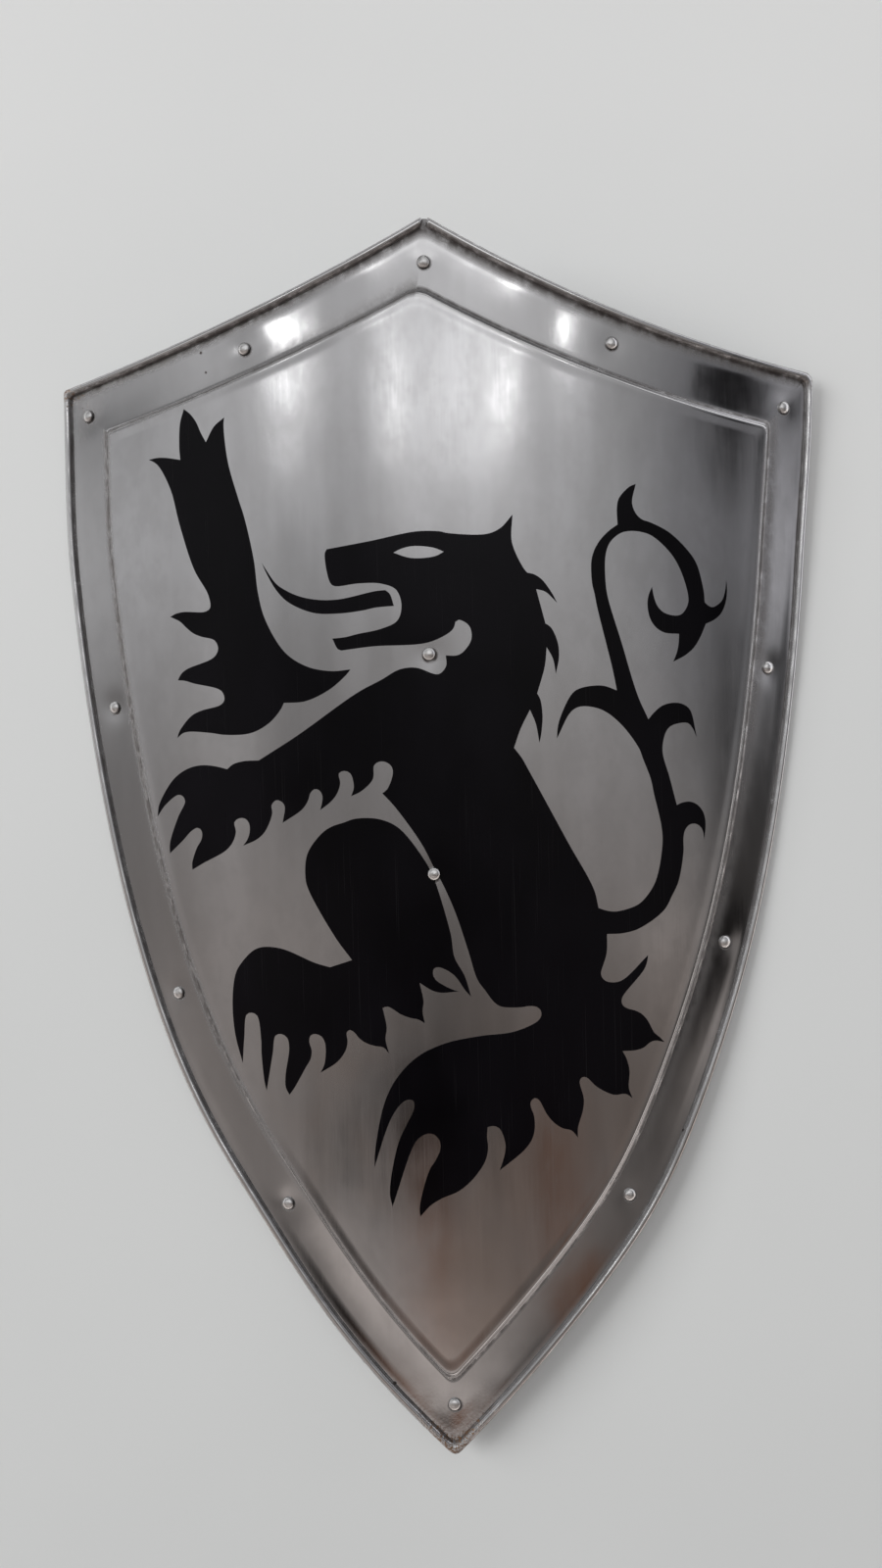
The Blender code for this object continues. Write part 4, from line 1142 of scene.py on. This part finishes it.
def steel_look():
    look = Look("plate_steel")
    brushed = look.noise(look.stretched(1300, 30, 300), 2.0, 0.6)
    streaks = look.noise(look.stretched(42, 6.5, 40), 2.0, 0.5)
    cloud = look.noise(look.stretched(11, 7, 11), 3.0, 0.6)
    spots = look.noise(look.stretched(160, 120, 160), 3.0, 0.65)
    speckle = look.noise(look.stretched(620, 560, 620), 2.0, 0.6)
    fine = scratches(look, (0.12, -0.40))

    grime_and_painted_shade, rust, crest_highlight, satin = (look.value(name) for name in ("grime_and_painted_shade", "rust", "crest_highlight", "satin"))
    # Painted shadow: a dark ring round each rivet, set a little to the lower right, where the head's shadow falls.
    ring = spot = None
    for s, t in RIVETS.values():
        away = look.add("ShaderNodeVectorMath", operation="DISTANCE")
        look.put(away.inputs[0], look.place)
        away.inputs[1].default_value = tuple(sheet_frame(s + 0.0004, t - 0.0005, 0.002).translation)
        one = look.between(away.outputs["Value"], 0.0056, 0.0042)
        ring = one if ring is None else look.sum("MAXIMUM", ring, one)
    for s, t, size in MARKS:
        away = look.add("ShaderNodeVectorMath", operation="DISTANCE")
        look.put(away.inputs[0], look.place)
        away.inputs[1].default_value = tuple(sheet_frame(s, t, 0.0).translation)
        one = look.between(away.outputs["Value"], size * 1.5, size * 0.6)
        spot = one if spot is None else look.sum("MAXIMUM", spot, one)

    ring = look.sum("MULTIPLY", ring, look.between(spots, 0.30, 0.62, 0.45, 1.0))
    darkening = look.sum("MULTIPLY", grime_and_painted_shade, look.between(spots, 0.28, 0.60, 0.45, 1.0))
    darkening = look.sum("MAXIMUM", darkening, look.sum("MAXIMUM", ring, spot))
    rusty = look.sum("ADD", rust, look.sum("MULTIPLY", look.sum("SUBTRACT", speckle, 0.5), 1.3))
    rusty = look.between(rusty, 0.40, 0.72)

    # Warm brown clouds low on the panel: partly a stain, partly a painted warm reflection of the room below.
    along = look.add("ShaderNodeSeparateXYZ")
    look.put(along.inputs[0], look.place)
    low = look.between(along.outputs["Y"], 0.02, -0.24)
    stain_and_warm_reflection = look.sum("MULTIPLY", look.between(cloud, 0.36, 0.66), look.sum("MULTIPLY", low, satin))

    mottle = look.noise(look.stretched(75, 48, 75), 3.0, 0.62)
    colour = look.mix(look.between(streaks, 0.3, 0.7), (0.550, 0.546, 0.550), (0.610, 0.607, 0.615))
    colour = look.mix(look.between(mottle, 0.35, 0.70, 0.0, 0.30), colour, (0.46, 0.455, 0.455))
    # Painted shade: the border's steel is a little darker than the panel's.
    colour = look.mix(look.between(satin, 0.0, 1.0, 0.45, 0.0), colour, (0.47, 0.465, 0.465))
    # Painted warm reflection and stain, low on the panel.
    colour = look.mix(look.sum("MULTIPLY", stain_and_warm_reflection, 0.60), colour, (0.52, 0.42, 0.36))
    # Painted highlight: the crest mask lightens the steel.
    colour = look.mix(look.sum("MULTIPLY", crest_highlight, 0.7), colour, (0.82, 0.815, 0.81))
    # Darkening: real marks and dirt, with painted shade in the creases, at the step, in the notch and round the
    # rivets.
    colour = look.mix(look.sum("MULTIPLY", darkening, 0.95), colour, (0.040, 0.031, 0.028))
    colour = look.mix(rusty, colour, look.mix(speckle, (0.040, 0.022, 0.014), (0.17, 0.095, 0.050)))

    rough = look.between(satin, 0.0, 1.0, 0.105, 0.150)
    rough = look.sum("ADD", rough, look.between(streaks, 0.30, 0.70, -0.015, 0.030))
    rough = look.sum("ADD", rough, look.between(mottle, 0.35, 0.70, 0.0, 0.030))
    rough = look.sum("ADD", rough, look.between(brushed, 0.3, 0.7, -0.008, 0.012))
    rough = look.sum("ADD", rough, look.sum("MULTIPLY", stain_and_warm_reflection, 0.04))
    rough = look.sum("ADD", rough, look.sum("MULTIPLY", fine, 0.03))
    rough = look.sum("ADD", rough, look.sum("MULTIPLY", look.sum("MAXIMUM", darkening, rusty), 0.35))

    height = look.sum("ADD", look.sum("MULTIPLY", brushed, 0.40), look.sum("MULTIPLY", fine, -0.4))
    normal = look.bump(height, 0.000008, 0.5)
    normal = look.bump(look.noise(look.stretched(58, 30, 58), 2.0), 0.00022, 0.22, normal)
    normal = look.bump(look.sum("MULTIPLY", look.sum("ADD", rust, look.between(grime_and_painted_shade, 0.55, 0.95)), speckle), 0.00022, 0.6, normal)
    metal = look.sum("SUBTRACT", 1.0, look.sum("MAXIMUM", rusty, look.sum("MULTIPLY", darkening, 0.5)))
    look.set(Base_Color=colour, Roughness=rough, Metallic=metal, Normal=normal)
    return look.material


def rivet_look():
    look = Look("rivet_steel")
    worn = look.noise(look.stretched(260, 260, 260), 4.0, 0.6)
    fine = look.noise(look.stretched(1600, 500, 1600), 3.0, 0.6)
    colour = look.mix(look.between(worn, 0.35, 0.65), (0.74, 0.735, 0.73), (0.86, 0.855, 0.85))
    colour = look.mix(look.between(worn, 0.60, 0.70, 0.0, 0.4), colour, (0.30, 0.28, 0.27))
    # Painted shade on the heads: dark towards the rim, most at the lower right.
    colour = look.mix(look.between(look.value("rim"), 0.05, 0.85, 0.0, 0.88), colour, (0.050, 0.045, 0.045))
    rough = look.between(worn, 0.3, 0.7, 0.25, 0.34)
    normal = look.bump(fine, 0.00003, 0.5)
    normal = look.bump(worn, 0.00016, 0.5, normal)
    look.set(Base_Color=colour, Roughness=rough, Metallic=1.0, Normal=normal)
    return look.material


def paint_look():
    look = Look("lion_paint")
    peel = look.noise(look.stretched(260, 230, 260), 3.0, 0.5)
    cloud = look.noise(look.stretched(16, 9, 16), 3.0, 0.55)
    fine = scratches(look, (0.2, -0.5, 1.1), 9.0, 1200.0, 0.05)
    dust = look.noise(look.stretched(900, 800, 900), 4.0, 0.7)
    colour = look.mix(look.between(cloud, 0.3, 0.7), (0.0012, 0.0010, 0.0016), (0.0026, 0.0022, 0.0034))
    colour = look.mix(look.sum("MULTIPLY", fine, 0.08), colour, (0.030, 0.028, 0.030))
    colour = look.mix(look.between(dust, 0.66, 0.76, 0.0, 0.15), colour, (0.030, 0.028, 0.029))
    rough = look.sum("ADD", look.between(cloud, 0.3, 0.7, 0.16, 0.24), look.sum("MULTIPLY", fine, 0.2))
    normal = look.bump(peel, 0.00005, 0.35)
    look.set(Base_Color=colour, Roughness=rough, Metallic=0.0, Specular_IOR_Level=0.13, Normal=normal)
    return look.material


def leather_look():
    look = Look("grip_leather")
    grain = look.cells(look.stretched(1050, 900, 1050))
    broad = look.noise(look.stretched(55, 40, 55), 4.0, 0.6)
    fine = look.noise(look.stretched(700, 700, 700), 4.0, 0.65)
    creases = look.cells(look.stretched(120, 430, 120), "DISTANCE_TO_EDGE")
    crease = look.between(creases, 0.05, 0.0)
    height = look.add("ShaderNodeSeparateXYZ")
    look.put(height.inputs[0], look.place)
    worn = look.between(height.outputs["Z"], 0.030, 0.014)
    colour = look.mix(look.between(broad, 0.35, 0.65), (0.070, 0.036, 0.019), (0.125, 0.068, 0.036))
    colour = look.mix(look.between(fine, 0.35, 0.70, 0.0, 0.5), colour, (0.045, 0.024, 0.014))
    colour = look.mix(look.sum("MULTIPLY", worn, look.between(broad, 0.40, 0.70)), colour, (0.21, 0.125, 0.070))
    colour = look.mix(look.sum("MULTIPLY", crease, 0.45), colour, (0.030, 0.016, 0.010))
    rough = look.between(broad, 0.3, 0.7, 0.44, 0.62)
    rough = look.sum("SUBTRACT", rough, look.sum("MULTIPLY", worn, 0.10))
    normal = look.bump(grain, 0.00020, 0.55)
    normal = look.bump(fine, 0.00012, 0.4, normal)
    normal = look.bump(look.sum("MULTIPLY", crease, -1.0), 0.00020, 0.6, normal)
    look.set(Base_Color=colour, Roughness=rough, Metallic=0.0, Specular_IOR_Level=0.4, Normal=normal)
    return look.material


def thread_look():
    look = Look("waxed_thread")
    twist = look.noise(look.stretched(1500, 2600, 1500, 0.7), 2.0)
    darkening = look.noise(look.stretched(60, 60, 60), 3.0)
    colour = look.mix(look.between(twist, 0.35, 0.65), (0.30, 0.245, 0.175), (0.47, 0.40, 0.30))
    colour = look.mix(look.between(darkening, 0.45, 0.68, 0.0, 0.7), colour, (0.12, 0.085, 0.055))
    rough = look.between(twist, 0.3, 0.7, 0.62, 0.80)
    look.set(Base_Color=colour, Roughness=rough, Metallic=0.0, Normal=look.bump(twist, 0.0001, 0.6))
    return look.material


def floor_look():
    look = Look("pale_floor")
    soft = look.noise(look.stretched(2.2, 2.2, 2.2), 3.0, 0.5)
    tooth = look.noise(look.stretched(420, 420, 420), 3.0, 0.6)
    along = look.add("ShaderNodeSeparateXYZ")
    look.put(along.inputs[0], look.place)
    far = look.between(along.outputs["Y"], -0.45, 0.45, soft=False)
    colour = look.mix(look.between(soft, 0.3, 0.7), (0.565, 0.576, 0.572), (0.587, 0.598, 0.594))
    rough = look.between(tooth, 0.3, 0.7, 0.70, 0.82)
    glow = look.mix(far, (0.93, 0.985, 1.0), (1.0, 0.995, 1.0))
    look.set(Base_Color=colour, Roughness=rough, Specular_IOR_Level=0.25, Normal=look.bump(tooth, 0.0002, 0.25))
    look.set(Emission_Color=glow, Emission_Strength=look.between(far, 0.0, 1.0, FLOOR_GLOW[0], FLOOR_GLOW[1], soft=False))
    return look.material


# -------------------------------------------------------------------- light
def build_floor():
    points, faces, steps, reach = [], [], 24, 4.0
    for j in range(steps + 1):
        for i in range(steps + 1):
            points.append(((i / steps * 2 - 1) * reach, (j / steps * 2 - 1) * reach, 0.0))
    for j in range(steps):
        for i in range(steps):
            a = j * (steps + 1) + i
            faces.append((a, a + 1, a + steps + 2, a + steps + 1))
    floor = new_object("pale_floor", mesh_from("pale_floor", points, faces), floor_look())


# Soft lights and shades of the studio, by the level part (x, y) of their direction:
# place, reach along each, how much of the reach is at full strength, and strength.
STUDIO = {
    "overhead": (0.02, 0.20, 0.68, 0.76, 0.0, 1.48),
    "left_window": (-0.85, 0.11, 0.20, 0.16, 0.0, 0.35),
    "glow_left": (-0.39, 0.22, 0.16, 0.08, 0.0, 0.45),
    "glow_right": (0.06, 0.185, 0.28, 0.085, 0.0, 0.75),
    "right_wall": (0.885, 0.085, 0.065, 0.13, 0.4, 0.32),
    "doorway": (0.766, 0.212, 0.078, 0.085, 0.7, -0.85),
    "right_shade": (0.790, -0.10, 0.115, 0.25, 0.35, -0.19),
    "low_right_shade": (0.77, -0.37, 0.60, 0.21, 0.0, -0.20),
    "low_dark": (0.74, -0.29, 0.090, 0.15, 0.4, -0.15),
    "low_window": (0.60, -0.235, 0.12, 0.10, 0.0, 0.19),
    "tip_glow": (-0.12, -0.56, 0.56, 0.18, 0.0, 0.47),
    "low_left": (-0.38, -0.23, 0.49, 0.14, 0.0, 0.16),
    "low_left_wall": (-0.37, -0.475, 0.24, 0.080, 0.2, 0.26),
    "low_shade": (-0.20, -0.36, 0.34, 0.10, 0.0, -0.06),
    "middle_shade": (0.0, 0.07, 0.63, 0.76, 0.0, -1.07),
    "left_middle": (-0.62, 0.17, 0.25, 0.43, 0.0, 0.38),
}
# Small soft boxes: place, width and height as seen from the shield, and strength.
SOFTBOXES = {
    "key_left": (-0.400, 0.247, 0.110, 0.060, 4.5),
    "key_right": (0.372, 0.246, 0.022, 0.055, 7.5),
    "strip_left": (-0.115, 0.200, 0.090, 0.075, 1.7),
    "strip_right": (0.187, 0.206, 0.055, 0.050, 3.6),
    "strip_middle": (0.080, 0.218, 0.035, 0.040, 1.2),
}
STUDIO_BASE, STUDIO_LEAST = 0.244, 0.012
HORIZON = 1.3  # the pale walls low down
WARM = ((-0.06, -0.405, 0.15, 0.11), (0.285, -0.405, 0.13, 0.10))  # warm reflections
FLOOR_GLOW = (0.045, 0.150)


def build_softboxes(away=60.0):
    for name, (x, y, wide, tall, strength) in SOFTBOXES.items():
        data = bpy.data.lights.new(name, "AREA")
        data.shape = "ELLIPSE"
        data.size, data.size_y = wide * away, tall * away
        data.energy = strength * math.pi * (math.pi / 4) * data.size * data.size_y
        light = bpy.data.objects.new(name, data)
        bpy.context.scene.collection.objects.link(light)
        towards = Vector((x, y, math.sqrt(1 - x * x - y * y)))
        light.location = towards * away
        light.rotation_euler = towards.to_track_quat("Z", "Y").to_euler()
        light.visible_camera = False


def build_fill():
    """A big soft light low on the left, for the shadows; it isn't mirrored."""
    data = bpy.data.lights.new("fill", "AREA")
    data.size = 7.0
    data.energy = 1290.0
    light = bpy.data.objects.new("fill", data)
    bpy.context.scene.collection.objects.link(light)
    towards = Vector((-0.80, 0.24, 0.56)).normalized()
    light.location = towards * 12.0
    light.rotation_euler = towards.to_track_quat("Z", "Y").to_euler()
    light.visible_camera = light.visible_glossy = False


def build_light():
    """A plain pale studio, as the light that comes from each direction."""
    world = bpy.data.worlds.new("studio")
    bpy.context.scene.world = world
    world.use_nodes = True
    background = world.node_tree.nodes["Background"]
    look = Look.__new__(Look)
    look.tree = world.node_tree
    place = look.add("ShaderNodeTexCoord").outputs["Generated"]
    parts = look.add("ShaderNodeSeparateXYZ")
    look.put(parts.inputs[0], place)
    x, y, z = parts.outputs

    def patch(cx, cy, reach_x, reach_y, core=0.0, strength=1.0):
        moved = look.add("ShaderNodeVectorMath", operation="MULTIPLY_ADD")
        look.put(moved.inputs[0], place)
        moved.inputs[1].default_value = (1 / reach_x, 1 / reach_y, 0)
        moved.inputs[2].default_value = (-cx / reach_x, -cy / reach_y, 0)
        size = look.add("ShaderNodeVectorMath", operation="LENGTH")
        look.put(size.inputs[0], moved.outputs[0])
        return look.between(size.outputs["Value"], 1.0, core, 0.0, strength)

    level = STUDIO_BASE
    for values in STUDIO.values():
        level = look.sum("ADD", patch(*values), level)
    level = look.sum("MAXIMUM", level, STUDIO_LEAST)
    low = look.between(z, 0.36, 0.12)
    side = look.between(x, -0.7, 0.2, 0.55 * HORIZON, HORIZON)
    level = look.sum("ADD", level, look.sum("MULTIPLY", low, side))
    colour = look.mix(look.between(y, -0.30, 0.12), (1.0, 0.90, 0.85), (0.985, 0.985, 1.0))
    colour = look.mix(look.sum("MULTIPLY", look.between(x, 0.50, 0.74), look.between(y, -0.15, 0.1)), colour, (0.965, 0.96, 1.015))
    for warm in WARM:
        colour = look.mix(patch(*warm, 0.2, 0.9), colour, (1.0, 0.46, 0.26))
    look.put(background.inputs["Color"], colour)
    look.put(background.inputs["Strength"], level)
    build_softboxes()
    build_fill()


def build_camera():
    data = bpy.data.cameras.new("camera")
    data.sensor_fit = "AUTO"
    data.sensor_width = 36.0
    data.lens = 29.25
    data.clip_start, data.clip_end = 0.02, 50
    camera = bpy.data.objects.new("camera", data)
    bpy.context.scene.collection.objects.link(camera)
    right, up, back = (0.9997, -0.02434, -0.00295), (0.02443, 0.99902, 0.03701), (0.00205, -0.03707, 0.99931)
    turn = Matrix((right, up, back)).transposed().to_4x4()
    camera.matrix_world = Matrix.Translation((-0.0025, 0.0083, 0.7697)) @ turn
    bpy.context.scene.camera = camera


# --------------------------------------------------------------------- build
def main():
    plate, unrolled = build_plate(steel_look())
    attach(plate, "root")
    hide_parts("shield_plate")

    lion = build_lion(paint_look(), unrolled)
    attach(lion, "root")

    rivet_steel = rivet_look()
    strap_back = PANEL_RISE - SHEET - GAP - GRIP_EDGE_GAP - GRIP_THICKNESS
    for n, (name, (s, t)) in enumerate(RIVETS.items()):
        front = unrolled.ray_cast(Vector((s, t, 0.05)), Vector((0, 0, -1)))[0][2]
        tail = front - SHEET if name in BORDER_RIVETS else strap_back + 0.0003
        build_rivet(name, s, t, front, tail, rivet_steel, 10.0 + n)

    build_grip(leather_look(), thread_look())
    build_floor()
    build_light()
    build_camera()
    bpy.context.scene.view_settings.view_transform = "Standard"
    cycles = bpy.context.scene.cycles
    cycles.max_bounces, cycles.diffuse_bounces, cycles.glossy_bounces = 4, 2, 3
    bpy.context.view_layer.update()


main()
